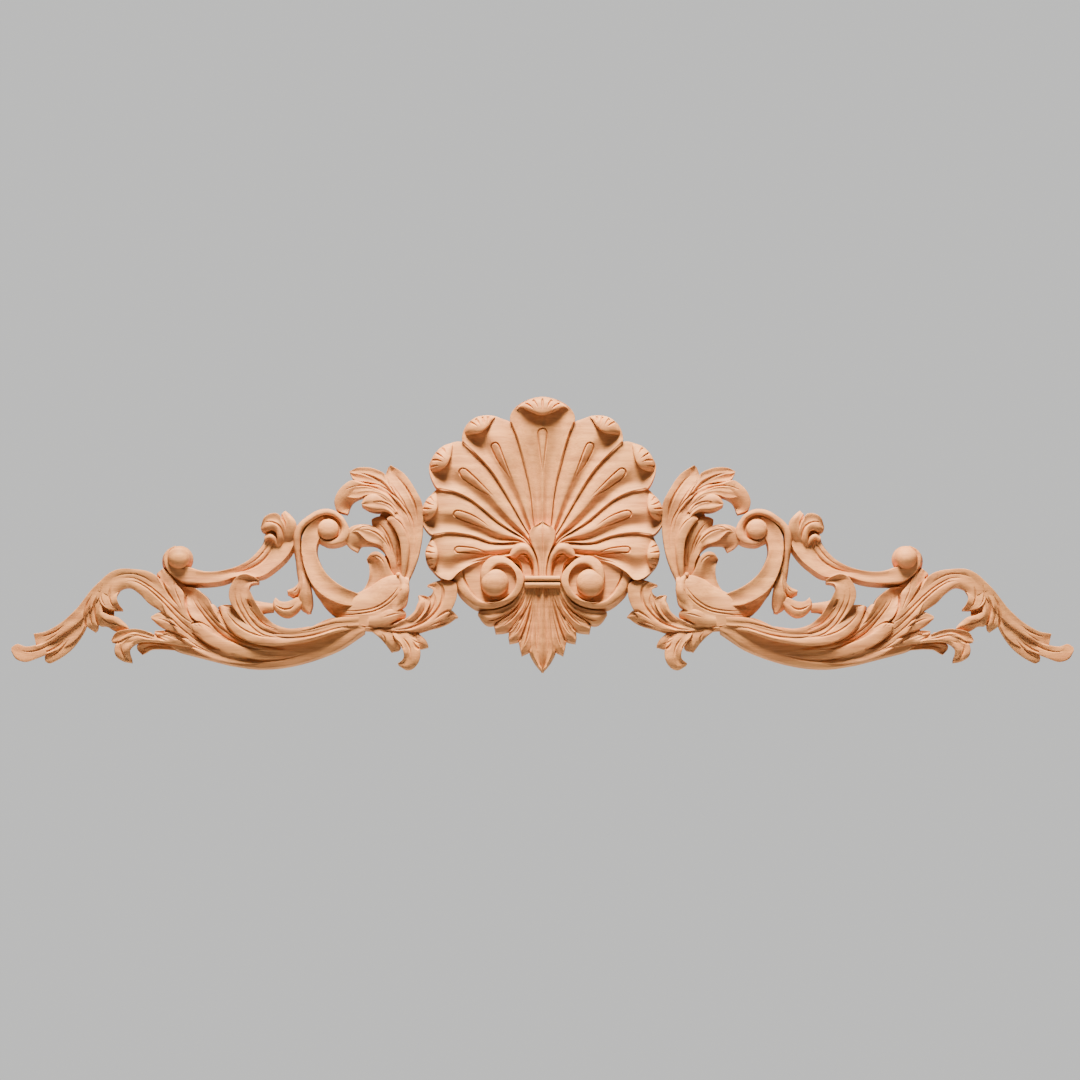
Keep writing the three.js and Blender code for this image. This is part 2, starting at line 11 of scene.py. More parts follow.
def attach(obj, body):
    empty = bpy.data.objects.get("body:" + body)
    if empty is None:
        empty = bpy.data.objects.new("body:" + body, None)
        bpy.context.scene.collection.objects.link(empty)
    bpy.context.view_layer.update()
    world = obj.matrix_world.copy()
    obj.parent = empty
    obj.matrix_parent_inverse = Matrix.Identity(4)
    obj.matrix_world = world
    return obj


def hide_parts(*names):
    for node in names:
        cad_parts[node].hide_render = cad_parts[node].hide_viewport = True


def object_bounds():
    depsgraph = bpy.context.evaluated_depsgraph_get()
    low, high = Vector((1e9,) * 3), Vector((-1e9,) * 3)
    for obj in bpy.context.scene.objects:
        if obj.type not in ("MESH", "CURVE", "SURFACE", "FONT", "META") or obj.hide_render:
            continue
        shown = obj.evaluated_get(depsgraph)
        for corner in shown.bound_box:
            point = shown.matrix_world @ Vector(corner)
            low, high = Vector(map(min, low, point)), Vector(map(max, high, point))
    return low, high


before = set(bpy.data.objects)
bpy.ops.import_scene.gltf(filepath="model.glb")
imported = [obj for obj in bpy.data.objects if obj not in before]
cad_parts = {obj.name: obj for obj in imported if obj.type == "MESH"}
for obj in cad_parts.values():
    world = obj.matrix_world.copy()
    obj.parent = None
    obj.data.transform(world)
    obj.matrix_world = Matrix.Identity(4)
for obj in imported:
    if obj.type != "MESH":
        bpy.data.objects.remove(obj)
cad_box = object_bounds()
MM = 0.001

# The drawing grid: the carving is DRAWN_LENGTH long on it, seen from VIEW_BELOW degrees below
DRAWN_LENGTH = 1060
LENGTH = (cad_box[1][0] - cad_box[0][0]) / MM
WALL_DRAFT = 8
VIEW_BELOW = 7

# A leaf's least width and the rounding of its edges in millimetres, the largest share of its
# width that the rounding takes, where the rounding's middle lies, and how close the stations
# crowd at its tip
TIP_WIDTH = 0.8
EDGE_ROUND = 1.1
ROUND_SHARE = 0.3
ROUND_MIDDLE = 0.3
TIP_CROWDING = 0.35

# Heights of the carving over the back, in millimetres
EDGE = 11
LOW = 15
LEAF = 19
HIGH = 23
BAND = 26
BOLD = 30
CREST = 34
DEPTH = 36

RISE = math.tan(math.radians(VIEW_BELOW))
FLARE = math.tan(math.radians(WALL_DRAFT))
UNIT = (LENGTH - 2 * EDGE * FLARE) / DRAWN_LENGTH

# Fineness of the carved surface: the space between its points, in millimetres
STATION_SPACE = 2.6
ACROSS_SPACE = 2.3
CUT_SPACE = 2.5

# Faces that turn by less than FLAT_ENOUGH become one, and edges that turn by less than
# SMOOTH_BELOW are shaded smooth, in degrees
FLAT_ENOUGH = 2.6
SMOOTH_BELOW = 32

# The width from which a leaf's section has its full relief, in millimetres
FULL_RELIEF_WIDTH = 12

# How the walls of a family of leaves run down to the back: 1 spreads by WALL_DRAFT, 0 is
# straight, and less than 0 is cut back under the leaf
WALLS = {
    "middle": 0, "lobe": 0, "roll": 0, "tall": -0.1, "root": -0.2, "sickle": -0.6, "sprig": -0.6,
    "scroll": 0.4, "tuft": 0, "cup": 0, "hanging": -0.4, "arch": -0.4, "end": -0.6, "curl": -0.6,
    "claw": -0.6, "wing": 0.6, "palmette": 0.3,
}

# The largest share of a leaf's width by which a wall is cut back
UNDERCUT_SHARE = 0.25


def curve(points):
    """A smooth run on the grid through a few chosen points, in millimetres."""
    chosen = [Vector((x * UNIT, z * UNIT)) for x, z in points]
    chosen = [2 * chosen[0] - chosen[1], *chosen, 2 * chosen[-1] - chosen[-2]]
    run = []
    for a, b, c, d in zip(chosen, chosen[1:], chosen[2:], chosen[3:]):
        t1 = max((b - a).length, 1e-3) ** 0.5
        t2 = t1 + max((c - b).length, 1e-3) ** 0.5
        t3 = t2 + max((d - c).length, 1e-3) ** 0.5
        steps = max(3, math.ceil((c - b).length))
        for step in range(steps):
            t = t1 + (t2 - t1) * step / steps
            ab = a.lerp(b, t / t1)
            bc = b.lerp(c, (t - t1) / (t2 - t1))
            cd = c.lerp(d, (t - t2) / (t3 - t2))
            run.append(ab.lerp(bc, t / t2).lerp(bc.lerp(cd, (t - t1) / (t3 - t1)), (t - t1) / (t2 - t1)))
    return [*run, chosen[-2]]


class Edge:
    """A curve on the grid with points at shares of its length."""

    def __init__(self, points):
        self.run = curve(points)
        self.total = [0.0]
        for p, q in zip(self.run, self.run[1:]):
            self.total.append(self.total[-1] + (q - p).length)
        self.length = self.total[-1]

    def at(self, share):
        goal = share * self.length
        low, high = 0, len(self.run) - 1
        while high - low > 1:
            middle = (low + high) // 2
            if self.total[middle] <= goal:
                low = middle
            else:
                high = middle
        span = max(self.total[high] - self.total[low], 1e-9)
        return self.run[low].lerp(self.run[high], (goal - self.total[low]) / span)

    def heading(self, share):
        step = 0.004
        ahead = self.at(min(share + step, 1)) - self.at(max(share - step, 0))
        return ahead.normalized()


def along(values, share):
    """A smooth value between a few given ones, at a share of the way."""
    last = len(values) - 1
    index = min(int(share * last), last - 1)
    part = share * last - index
    a, b = values[index], values[index + 1]
    slope_a = (b - values[index - 1]) / 2 if index > 0 else b - a
    slope_b = (values[index + 2] - a) / 2 if index + 2 <= last else b - a
    square, cube = part ** 2, part ** 3
    return (
        (2 * cube - 3 * square + 1) * a
        + (cube - 2 * square + part) * slope_a
        + (3 * square - 2 * cube) * b
        + (cube - square) * slope_b
    )


# Sections across a leaf, from its first edge to its second, in millimetres from its height
def dome(drop):
    return (-drop, -drop * 0.3, 0, -drop * 0.3, -drop)


def dish(sink):
    return (0, -sink * 0.8, -sink, -sink * 0.8, 0)


def slope(first, second):
    return (first, (first + second) / 2, second)


def mesh_piece(name, rings):
    """A closed solid over a run of rings of points, each ring closed, with flat ends."""
    count = len(rings[0])
    points = [Vector(point) * MM for ring in rings for point in ring]
    faces = []
    for i in range(len(rings) - 1):
        for j in range(count):
            a = i * count + j
            b = i * count + (j + 1) % count
            faces.append((a, b, b + count, a + count))
    last = (len(rings) - 1) * count
    faces.append(tuple(reversed(range(count))))
    faces.append(tuple(range(last, last + count)))
    mesh = bpy.data.meshes.new(name)
    mesh.from_pydata(points, [], faces)
    piece = bpy.data.objects.new(name, mesh)
    bpy.context.scene.collection.objects.link(piece)
    volume = 0
    for face in mesh.polygons:
        corners = [mesh.vertices[i].co for i in face.vertices]
        for p, q in zip(corners[1:], corners[2:]):
            volume += corners[0].dot(p.cross(q))
    if volume < 0:
        mesh.flip_normals()
    return piece


def lift(point, height):
    """A drawn point at a height: the drawing shows the front from a little below."""
    return (point.x, -height, point.y - height * RISE)


def leaf(name, first, second, heights, *sections):
    """A leaf, lobe or band between two edges, from its root to its tip."""
    edge_a, edge_b = Edge(first), Edge(second)
    steps = max(5, round(max(edge_a.length, edge_b.length) / STATION_SPACE))
    widest = max((edge_a.at(i / 8) - edge_b.at(i / 8)).length for i in range(9))
    parts = max(4, round(widest / ACROSS_SPACE))
    sections = sections or (dome(2),)
    draft = WALLS.get(name.split("_")[0], 1) * FLARE
    across = Vector((1, 0))
    rings = []
    for i in range(steps + 1):
        share = i / steps
        share += TIP_CROWDING * share * (1 - share)
        a, b = edge_a.at(share), edge_b.at(share)
        width = (b - a).length
        if width > TIP_WIDTH:
            across = (b - a).normalized()
        else:
            middle = (a + b) / 2
            a, b = middle - across * TIP_WIDTH / 2, middle + across * TIP_WIDTH / 2
            width = TIP_WIDTH
        relief = min(1, width / FULL_RELIEF_WIDTH)
        height = along(heights, share)
        rounding = min(EDGE_ROUND, width * ROUND_SHARE)

        def top(v):
            shapes = [along(section, v) for section in sections]
            return height + relief * (along(shapes, share) if len(shapes) > 1 else shapes[0])

        ring = [
            lift(a, top(0) - rounding),
            lift(a + across * rounding * ROUND_MIDDLE, top(0) - rounding * ROUND_MIDDLE),
        ]
        for j in range(parts + 1):
            inward = rounding + (width - 2 * rounding) * j / parts
            ring.append(lift(a + across * inward, top(inward / width)))
        ring.append(lift(b - across * rounding * ROUND_MIDDLE, top(1) - rounding * ROUND_MIDDLE))
        ring.append(lift(b, top(1) - rounding))
        ahead = (edge_a.heading(share) + edge_b.heading(share)).normalized()
        for base, side, edge_height in ((b, 1, top(1)), (a, -1, top(0))):
            spread = max(edge_height * draft, -width * UNDERCUT_SHARE)
            foot = base + across * side * spread
            if i == steps and spread > 0:
                foot = foot + ahead * spread
            ring.append((foot.x, 0, foot.y - edge_height * RISE))
        rings.append(ring)
    return mesh_piece(name, rings)


SMALLEST_RING = 0.2


def ball(name, centre, radius, base, top, sides=40, bands=12):
    """A ball on a short drafted wall. Its middle is a drawn point at the height base."""
    middle = Vector(centre) * UNIT
    profile = []
    for i in range(bands + 1):
        angle = i / bands * math.pi / 2
        ring_radius = max(radius * UNIT * math.cos(angle), SMALLEST_RING)
        profile.append((ring_radius, base + (top - base) * math.sin(angle), False))
    profile.insert(0, (radius * UNIT + base * FLARE, base, True))
    rings = []
    for ring_radius, height, on_back in profile:
        ring = []
        for j in range(sides):
            turn = j / sides * 2 * math.pi
            point = middle + Vector((math.cos(turn), math.sin(turn))) * ring_radius
            x, y, z = lift(point, height)
            ring.append((x, 0 if on_back else y, z))
        rings.append(ring)
    return mesh_piece(name, rings)


def mirror_points(points):
    return [(-x, z) for x, z in points]


# Shell: five lobes on each half, between seams that run from the hub to the rim
SEAMS = [
    [(4, -8), (8, 8), (12, 42), (19, 72), (27, 100), (32, 111.5)],
    [(7, -12), (14, 0), (30, 28), (52, 63), (66, 78.4), (80, 91.5)],
    [(10, -16), (18, -6), (43, 10), (73, 34), (88, 41), (104, 44.5)],
    [(12, -19), (22, -10), (50, -9.8), (71, -3), (92, 0), (109, -2)],
    [(12, -24), (24, -22), (51, -26.5), (68, -30.5), (83.5, -39.4), (92, -47)],
]
LOBE_RIMS = [
    ([(40, 114.8), (50, 118.2)], (63, 117.8), [(80, 99), (75, 110)]),
    ([(90, 91)], (107, 81), [(111, 55), (113.3, 68)]),
    ([(112, 37.5)], (119, 27), [(115, 2), (120, 11)]),
    ([(113, -9)], (116.8, -21), [(101, -45), (112, -34)]),
]
LOBE_SECTION = (-5.5, -3.6, -1.4, -0.2, -0.4, -3.4, -5.2, -3.4, 0.2)
LOBE_END_SECTION = (-1.5, -3.2, -4.6, -5.6, -6.4, -6.8, -6.2, -3.6, 0)
ROLLS = [
    ([(47, 117.5), (55, 118.6), (65, 117), (73, 112), (78.5, 104), (80, 96.5)],
     [(49.5, 114.5), (52.3, 109.5), (57, 104.7), (63, 101.4), (70, 100.2), (79, 97.8)]),
    ([(90, 90.6), (98, 88.3), (106, 81.8), (112, 71.5), (113.2, 64), (111.8, 58.5)],
     [(89.5, 88), (90.5, 82), (92.5, 74.5), (96.5, 67.6), (103, 63.4), (111, 60.5)]),
    ([(107, 40.6), (113, 36.8), (118, 29.8), (120.2, 22), (119.4, 14), (117, 9.5)],
     [(105.7, 38.5), (104.3, 32), (105, 25), (108, 18.6), (112.5, 14), (116.6, 11)]),
    ([(110, -6), (114, -11), (116.9, -19), (116, -27), (113, -33.5), (109, -38.5)],
     [(108, -8.5), (105.3, -14), (104.3, -21), (105, -28), (107.4, -34), (109, -37.5)]),
]
ROLL_SECTION = (-7, -2.5, -0.4, 0, -0.6)
ROLL_NOTCHES = [
    ([(72.4, 111.5), (68.5, 109.6), (64.8, 107)], [(66.8, 115), (64.2, 111.5), (62, 107.8)],
     [(60, 117), (58.8, 113), (57.6, 108.8)], [(54.5, 117.4), (54.2, 114.5), (54, 111.5)]),
    ([(101.5, 86.5), (98.4, 83.4), (96, 79.5)], [(107, 80), (102.6, 78), (98, 74.5)],
     [(110.4, 73), (105, 73.4), (99.5, 71.4)], [(111.6, 66.5), (107.5, 67.8), (103.5, 67.4)]),
    ([(112.5, 36.4), (110.6, 33.6), (108, 31.8)], [(117, 31), (113, 29), (108, 28)],
     [(119.6, 24.5), (115, 24.4), (109.5, 23.8)], [(119.4, 17.5), (116.5, 18.6), (113, 19)]),
    ([(114.4, -12.5), (111, -14), (107.5, -14.6)], [(116.3, -19), (112, -19.6), (107, -20)],
     [(116, -26), (112, -25.6), (107.5, -26)], [(113.4, -32), (110.6, -31), (108, -31.4)]),
]
DARTS = [
    ([(31.6, 53), (36, 60), (42.5, 69), (47.6, 78), (51.2, 86.4)],
     [(31, 53.6), (33.8, 62), (38, 73), (41, 81), (43.6, 87.8)]),
    ([(48.3, 34.5), (57, 40.4), (65, 44.8), (73.5, 50.6), (79.5, 55.2), (82.4, 58.8)],
     [(47.8, 35.4), (55, 43.2), (62.3, 50.6), (70, 58.2), (76.2, 63.6)]),
    ([(52.5, 3.6), (60, 5.8), (68, 8.8), (76, 11.8), (85.6, 15.8)],
     [(52, 5), (58, 10), (65, 15), (74, 19.6), (84.6, 22.6)]),
    ([(52, -22.6), (60, -21.2), (68, -20), (76, -19.4), (84.8, -19.6)],
     [(52, -21.4), (60, -17.8), (68, -15.4), (76, -14.2), (84.4, -13.8)]),
]

# Width, depth and fading along the way of the cuts round a dart and on a roll
DART_CUT = (2.1, 2.8, (0, 0.7, 1, 1, 1, 0.7, 0))
NOTCH_CUT = (2.3, 3.2, (1, 1, 0))


def dart_line(lower, upper):
    """Along one side of a dart, round its head and back along the other side."""
    low, high = Vector(lower[-1]), Vector(upper[-1])
    middle, half = (low + high) / 2, (low - high) / 2
    ahead = Vector((-half.y, half.x))
    turns = (math.radians(45), math.radians(90), math.radians(135))
    head = [tuple(middle + half * math.cos(turn) + ahead * math.sin(turn)) for turn in turns]
    return [*lower, *head, *reversed(upper)]


def shell_middle():
    rim = [*SEAMS[0], (32.2, 118), (27, 126.5), (15, 134), (0, 137.2)]
    wave = (0.5, -3, -5, -3.6, -0.8, -3.6, -5, -3, 0.5)
    bowl = (0, -3.4, -6, -7, -7, -7, -6, -3.4, 0)
    roll_rim = [(-30, 119.5), (-24, 128.5), (-12, 135), (0, 137.2), (12, 135), (24, 128.5), (30, 119.5)]
    roll_edge = [(-28.5, 120.5), (-22, 126.6), (-13, 123.2), (0, 119.6), (13, 123.2), (22, 126.6),
                 (28.5, 120.5)]
    return [
        leaf("middle_lobe", rim, mirror_points(rim), [LEAF, HIGH, HIGH, BAND, BAND, HIGH], wave, wave, wave,
            bowl),
        leaf("middle_roll", roll_rim, roll_edge, [HIGH, BOLD, DEPTH - 1, BOLD, HIGH], ROLL_SECTION),
    ]


def shell_middle_cuts():
    dart = [(0.6, 58), (-2.6, 80), (-4.5, 99), (-3.6, 103.2), (0, 105.2), (3.6, 103.2), (4.5, 99), (2.6, 80),
            (0.9, 60)]
    cuts = [(dart, *DART_CUT)]
    for side in (1, -1):
        cuts.append(([(side * 17.5, 130.5), (side * 13.5, 128.6), (side * 9, 124.8)], *NOTCH_CUT))
        cuts.append(([(side * 9.6, 134), (side * 7, 130.5), (side * 4.8, 125.8)], *NOTCH_CUT))
    cuts.append(([(0, 135.4), (0, 130.5), (0, 124.6)], *NOTCH_CUT))
    return cuts


def shell_side():
    pieces = []
    for index, (upper, tip, lower) in enumerate(LOBE_RIMS):
        first = [*SEAMS[index], *upper, tip]
        second = [*SEAMS[index + 1], *lower, tip]
        heights = [LEAF + 1, HIGH, HIGH, BAND, BAND, LEAF]
        sections = (LOBE_SECTION, LOBE_SECTION, LOBE_SECTION, LOBE_END_SECTION)
        pieces.append(leaf(f"lobe_{index}", first, second, heights, *sections))
        rim, edge = ROLLS[index]
        pieces.append(leaf(f"roll_{index}", rim, edge, [HIGH, BOLD, CREST, BOLD, LEAF], ROLL_SECTION))
    return pieces


def shell_side_cuts():
    cuts = []
    for notches in ROLL_NOTCHES:
        cuts.extend((notch, *NOTCH_CUT) for notch in notches)
    for lower, upper in DARTS:
        cuts.append((dart_line(lower, upper), *DART_CUT))
    cuts.extend((seam[1:], 2, 1.6, (0, 1, 1, 1)) for seam in SEAMS[:4])
    return cuts


def volute():
    outer = [(90, -43), (85, -53), (82, -59.4), (77.6, -64.5), (71.7, -69.7), (65, -73.7), (52, -75.6),
             (44.7, -74.4), (37.4, -71.8), (26.4, -63.8), (20, -54.3), (18.4, -47), (20.6, -40), (25, -34),
             (31, -28), (38, -24), (46, -22.8), (53.4, -25.4), (58.8, -31.4), (61.4, -40), (61.2, -49),
             (57.6, -57.6), (51, -62)]
    inner = [(79.4, -38), (78, -46.5), (74.7, -53.6), (70.3, -60), (65, -65.3), (59, -68.2), (52.7, -69.6),
             (47, -69.4), (40.5, -67.6), (34, -63), (28.8, -57), (26, -50), (26, -44), (28.2, -38),
             (32.4, -33.6), (37.6, -31.4), (43.5, -31.4), (48, -34), (50.8, -39), (50.8, -45), (49, -49),
             (47, -51)]
    bed = [(52, -22), (84, -36), (82, -48), (75, -60), (62, -70), (48, -72)]
    bed_edge = [(40, -24), (28, -34), (24, -46), (26, -58), (34, -66), (44, -71)]
    heights = [LEAF, HIGH, BAND, BAND, BOLD, BOLD, BOLD, BOLD, BOLD, BOLD, BAND]
    return [
        leaf("volute_bed", bed, bed_edge, [HIGH, LEAF, LEAF, LEAF], slope(2, -1)),
        leaf("volute_band", outer, inner, heights, (-2, -0.6, 0, -0.5), (-2, -0.6, 0, -0.5),
            (-3, -0.8, 0, -1.6)),
        ball("volute_floor", (40, -49), 19, HIGH, HIGH + 1),
        ball("volute_ball", (47.6, -49.8), 13.8, BAND - 1, DEPTH - 1),
    ]


VOLUTE_CUTS = [
    ([(79.4, -38.5), (78, -46.5), (74.7, -53.6), (70.3, -60), (65, -65.3), (59, -68.4), (52.7, -69.6),
      (46, -69), (39.5, -66.6), (33, -61.4)], 2.4, 4, (0.8, 1, 1, 0.5)),
]


def flower_middle():
    petal = [(3.4, -44), (3.8, -34), (6, -22), (10, -12), (12.6, -3), (10.6, 5), (5, 9), (0, 12)]
    hub = [(16, -58), (24, -32), (37, -28), (37, -15), (22, -4), (10, 10), (4, 30)]
    return [
        leaf("hub", hub, mirror_points(hub), [LEAF - 4, LEAF - 4, LOW - 1, LOW - 1], (0, 0)),
        leaf("petal", petal, mirror_points(petal), [BAND, BAND, BOLD, BAND + 1],
            (-1, -2.6, -3.2, -2.2, -1.6, -2.2, -3.2, -2.6, -1)),
    ]


FLOWER_MIDDLE_CUTS = [
    ([(0, 10), (0.3, -5), (0.3, -22), (0, -40)], 1.8, 1.5, (0.7, 1, 1, 0)),
]


def flower_side():
    return [
        leaf("side_petal", [(3.6, -44), (4.6, -32), (7.4, -22), (11.6, -14.4), (16, -10.9), (21, -9.8),
            (27, -11.6), (31.6, -17), (32.6, -22)],
            [(8.6, -44), (9.2, -34), (11.4, -26), (15, -21.4), (18.6, -20), (22.4, -20.8), (25.4, -23.4),
            (28.6, -24.8), (31.4, -24)], [HIGH, HIGH, BAND, BAND, HIGH], dome(3)),
        leaf("side_filler", [(10, -50), (12, -34), (15, -26), (20, -22)],
            [(20, -52), (19.6, -40), (21.6, -31), (26, -25)], [LEAF, LEAF, LEAF - 1, LEAF - 1], dish(2)),
        leaf("bar_upper", [(0, -43.2), (17.6, -43.2)], [(0, -47.8), (17.6, -47.8)], [BOLD + 1, BOLD + 1],
            dome(2.4)),
        leaf("bar_lower", [(0, -49.2), (17.6, -49.2)], [(0, -54), (17.6, -54)], [BOLD, BOLD], dome(2.4)),
    ]


FLOWER_SIDE_CUTS = [
    ([(19, -25), (15, -29), (12.5, -35), (11.8, -42)], 1.8, 1.4, (0, 1, 0.6, 0)),
]


PALMETTE_LEAVES = [
    ([(17, -50), (30, -70), (47, -77), (58, -78), (64, -79.5)],
     [(12, -50), (24, -76), (37, -85), (47, -91), (54.5, -91.8), (60, -87.8), (63.9, -81.5)],
     (-1, -2, -0.6, -2.4, -4)),
    ([(14, -50), (23, -74), (35, -84), (43.4, -87.6), (48, -92)],
     [(10, -50), (18, -78), (26, -88), (33.4, -97.4), (42, -99.8), (46.4, -100)], (0, -2.4, -1, -2.6, -3.4)),
    ([(12, -50), (18, -74), (25, -88), (33.2, -99), (33.6, -104)],
     [(8.5, -50), (12, -78), (17, -96), (23, -107), (29, -109.4), (32.6, -109.6)], (0, -2.4, -1, -2.6, -3.4)),
    ([(10, -50), (14, -76), (19, -94), (23.4, -108), (22.4, -114)],
     [(6, -50), (8, -80), (9.5, -100), (13.4, -118), (17, -120.4), (20.6, -122)], (0, -2.4, -1, -2.6, -3.4)),
]


def palmette_middle():
    rim = [(7, -50), (9, -70), (9, -90), (11.6, -106), (12.6, -118), (9, -127), (4, -134.4), (0, -138.2)]
    section = (-3.4, -0.8, -3.2, -2.6, 1, -2.6, -3.2, -0.8, -3.4)
    return [
        leaf("palmette_middle", rim, mirror_points(rim), [HIGH + 1, BAND - 1, BAND - 1, HIGH + 1, LEAF],
            section),
    ]


def palmette_middle_cuts():
    return [
        ([(side * 7.4, -76), (side * 6.6, -96), (side * 6.2, -112), (side * 4.4, -125)],
         2, 1.8, (0, 1, 0.8, 0))
        for side in (1, -1)
    ]


def palmette_side():
    pieces = []
    heights = [HIGH + 1, HIGH + 1, HIGH, HIGH - 1, LEAF - 1]
    for index, (first, second, section) in enumerate(PALMETTE_LEAVES):
        pieces.append(leaf(f"palmette_{index}", first, second, heights, section))
    return pieces


PALMETTE_SIDE_CUTS = [
    ([(32.8, -98.4), (27.5, -93), (22.7, -87), (18, -80), (13.7, -72), (10.5, -62)],
     2.4, 4.4, (1, 1, 0.8, 0.2)),
    ([(40.7, -94.2), (35, -90), (29.6, -85), (24.8, -78.5), (20.6, -72), (17, -64)], 2, 2.4, (0, 1, 0.8, 0)),
    ([(56, -87.9), (49, -87.4), (42, -84.6), (34, -79)], 2, 2.4, (0, 1, 0.8, 0)),
    ([(48.3, -92.4), (44, -88.6), (37, -84.4), (28, -77), (20, -66)], 2.4, 4.4, (1, 1, 0.8, 0.2)),
    ([(29.5, -103.5), (24, -97), (19, -87), (14.6, -75), (12, -64)], 2, 2.4, (0, 1, 0.8, 0)),
    ([(23.2, -109), (18.6, -99), (14.6, -87), (11, -73), (9, -62)], 2.4, 4.4, (1, 1, 0.8, 0.2)),
    ([(19.2, -115.6), (15.6, -106), (12.4, -93), (9.4, -78)], 2, 2.4, (0, 1, 0.8, 0)),
    ([(12.6, -119), (10.4, -109), (8.8, -95), (7.4, -80), (6.4, -64)], 2.4, 4, (1, 1, 0.8, 0.2)),
    ([(5.6, -121), (4.6, -108), (3.6, -94), (2.8, -82)], 1.8, 1.2, (0, 1, 0.8, 0)),
]


def tall_leaf():
    return [
        leaf("tall_bed", [(133, -48), (127, -30), (121, -4), (122, 26), (134, 46), (152, 56)],
            [(162, -52), (161, -38), (158.6, -26), (154, -14), (163, 4), (164, 13), (160, 24), (160, 38)],
            [LOW - 2, LOW - 1, LOW - 1, LOW, LEAF - 2, LEAF, LEAF], slope(0, -2)),
        leaf("tall_outer", [(133.5, -48), (128, -36), (123, -21), (119.3, 2), (119.6, 28), (125.5, 41.4),
            (138, 59.5), (151.6, 68.4)],
            [(141, -42), (136.4, -22), (134.6, 0), (137.4, 18), (145, 35), (151.6, 47), (156.6, 57),
            (154, 66)], [HIGH, BAND, BAND, BAND, BOLD, BAND, HIGH], (-1.6, -1.6, -3.6, -3.6, -2.6),
            (-0.6, -2.4, -4, -3, -0.4)),
        leaf("tall_top", [(131, 8), (139, 28), (149, 44), (157.6, 59.5), (166, 64), (176, 66.3), (186, 65.4),
            (192.7, 62)],
            [(131, 0), (139, 20), (149, 36), (160, 45.6), (171, 50), (181, 51.6), (188.6, 54), (192, 60)],
            [HIGH, BAND, BOLD, BAND, HIGH, LEAF], (-0.4, -1.8, -0.6, -2.2, -1)),
        leaf("tall_hook", [(127, 0), (136, 22), (148, 38), (162, 47.6), (178, 50.6), (190, 53.2), (198, 48.6),
            (204.6, 41), (207.8, 31), (205, 23), (195, 19)],
            [(134, -6), (142, 12), (152, 28), (163, 37), (175, 38), (184, 34.4), (189, 31), (192, 25.6),
            (193.4, 21.6)], [HIGH, BAND, BAND, BAND, BAND, BAND, LEAF], (-1, -1, -1, -1), (-1, -1, -1, -1),
            (0, -1, -4, -7), (0, -2, -5, -6)),
        leaf("tall_face", [(134, 10), (143, 27), (156, 40), (171, 46), (184, 47.4), (194.5, 45), (201, 38.4)],
            [(140, 8), (150, 26), (160, 36.6), (170, 38.6), (177, 37.8), (183, 35.4), (190, 35.4),
            (200, 37.6)], [HIGH, BAND, BOLD, BOLD, BAND, HIGH], (-0.6, -1.8, -0.8, -1.6, -0.6)),
        leaf("tall_tongue", [(134, -2), (141, 16), (149, 29), (159, 37), (169, 39.4), (177, 36), (180.6, 30)],
            [(139, -6), (145, 8), (150, 17.6), (157, 22), (165, 22), (173, 23.8), (180, 27.8)],
            [HIGH, BAND, BOLD, BOLD, CREST, BOLD], (-3.6, -1, -0.4, -1.6, -0.4, -1.8)),
        leaf("tall_bud", [(137, -45), (134, -30), (132.4, -12), (136.4, 8), (143, 18.6), (149, 20),
            (155, 14.6)], [(141, -44), (140.8, -24), (142.6, -8), (147, 3), (152, 10), (155, 13)],
            [HIGH, BAND, BOLD - 2, BOLD - 1, BOLD, BOLD, BAND], (-2.6, -0.8, 0, -0.4, -1.2)),
        leaf("tall_finger", [(138, -28), (144, -6), (150.6, 8), (159, 16.4), (166, 16.2), (170.4, 14)],
            [(146, -34), (153, -12), (160, -1), (166.8, 5.6), (170, 8), (170.8, 12)],
            [LOW, LEAF + 1, HIGH, HIGH, LEAF], (-1.4, -0.2, -1.4, -1.8)),
        leaf("tall_curl", [(143, -40), (150, -16), (158, -2), (168, 6.6), (178, 8.7), (190, 6.6), (196, 1),
            (196.8, -8), (192, -14.4), (184.8, -19)],
            [(151, -42), (153, -28), (159, -18), (166, -13.4), (174, -12.4), (180.6, -13.4), (183.4, -17.4)],
            [LOW, LEAF, HIGH, HIGH, HIGH, LEAF - 2], (-0.6, -0.6, -1), (-0.6, -0.6, -1), (0, -2, -6),
            (0, -3, -5)),
        leaf("tall_curl_face", [(146, -22), (153, -6), (162, 2.4), (172, 6.8), (181, 7.8), (188, 5),
            (191, 1)],
            [(152, -26), (157.4, -17), (163, -12), (170, -9.6), (176, -7), (180.6, -2.4), (185, 1.2),
            (190, 0.4)], [LOW, LEAF, BAND, BAND, BAND, HIGH], (-1, -0.4, -1.6, -0.2)),
        leaf("tall_low", [(140, -50), (150, -40), (154, -31), (158, -23), (165, -18.6), (171, -20),
            (175, -25.4)],
            [(183, -61), (178, -56), (174, -48), (172.6, -40), (173, -33), (174, -30), (175.4, -27)],
            [LEAF - 1, LEAF, LEAF + 2, HIGH, HIGH, LEAF], (0, -0.6, -1.4, -1.6, -2),
            (0, -0.4, -4.6, -6.4, -5), (0, -0.4, -5, -7, -5)),
        ball("tall_knob", (143.6, -42), 2.6, LEAF, HIGH + 2, 20, 6),
    ]


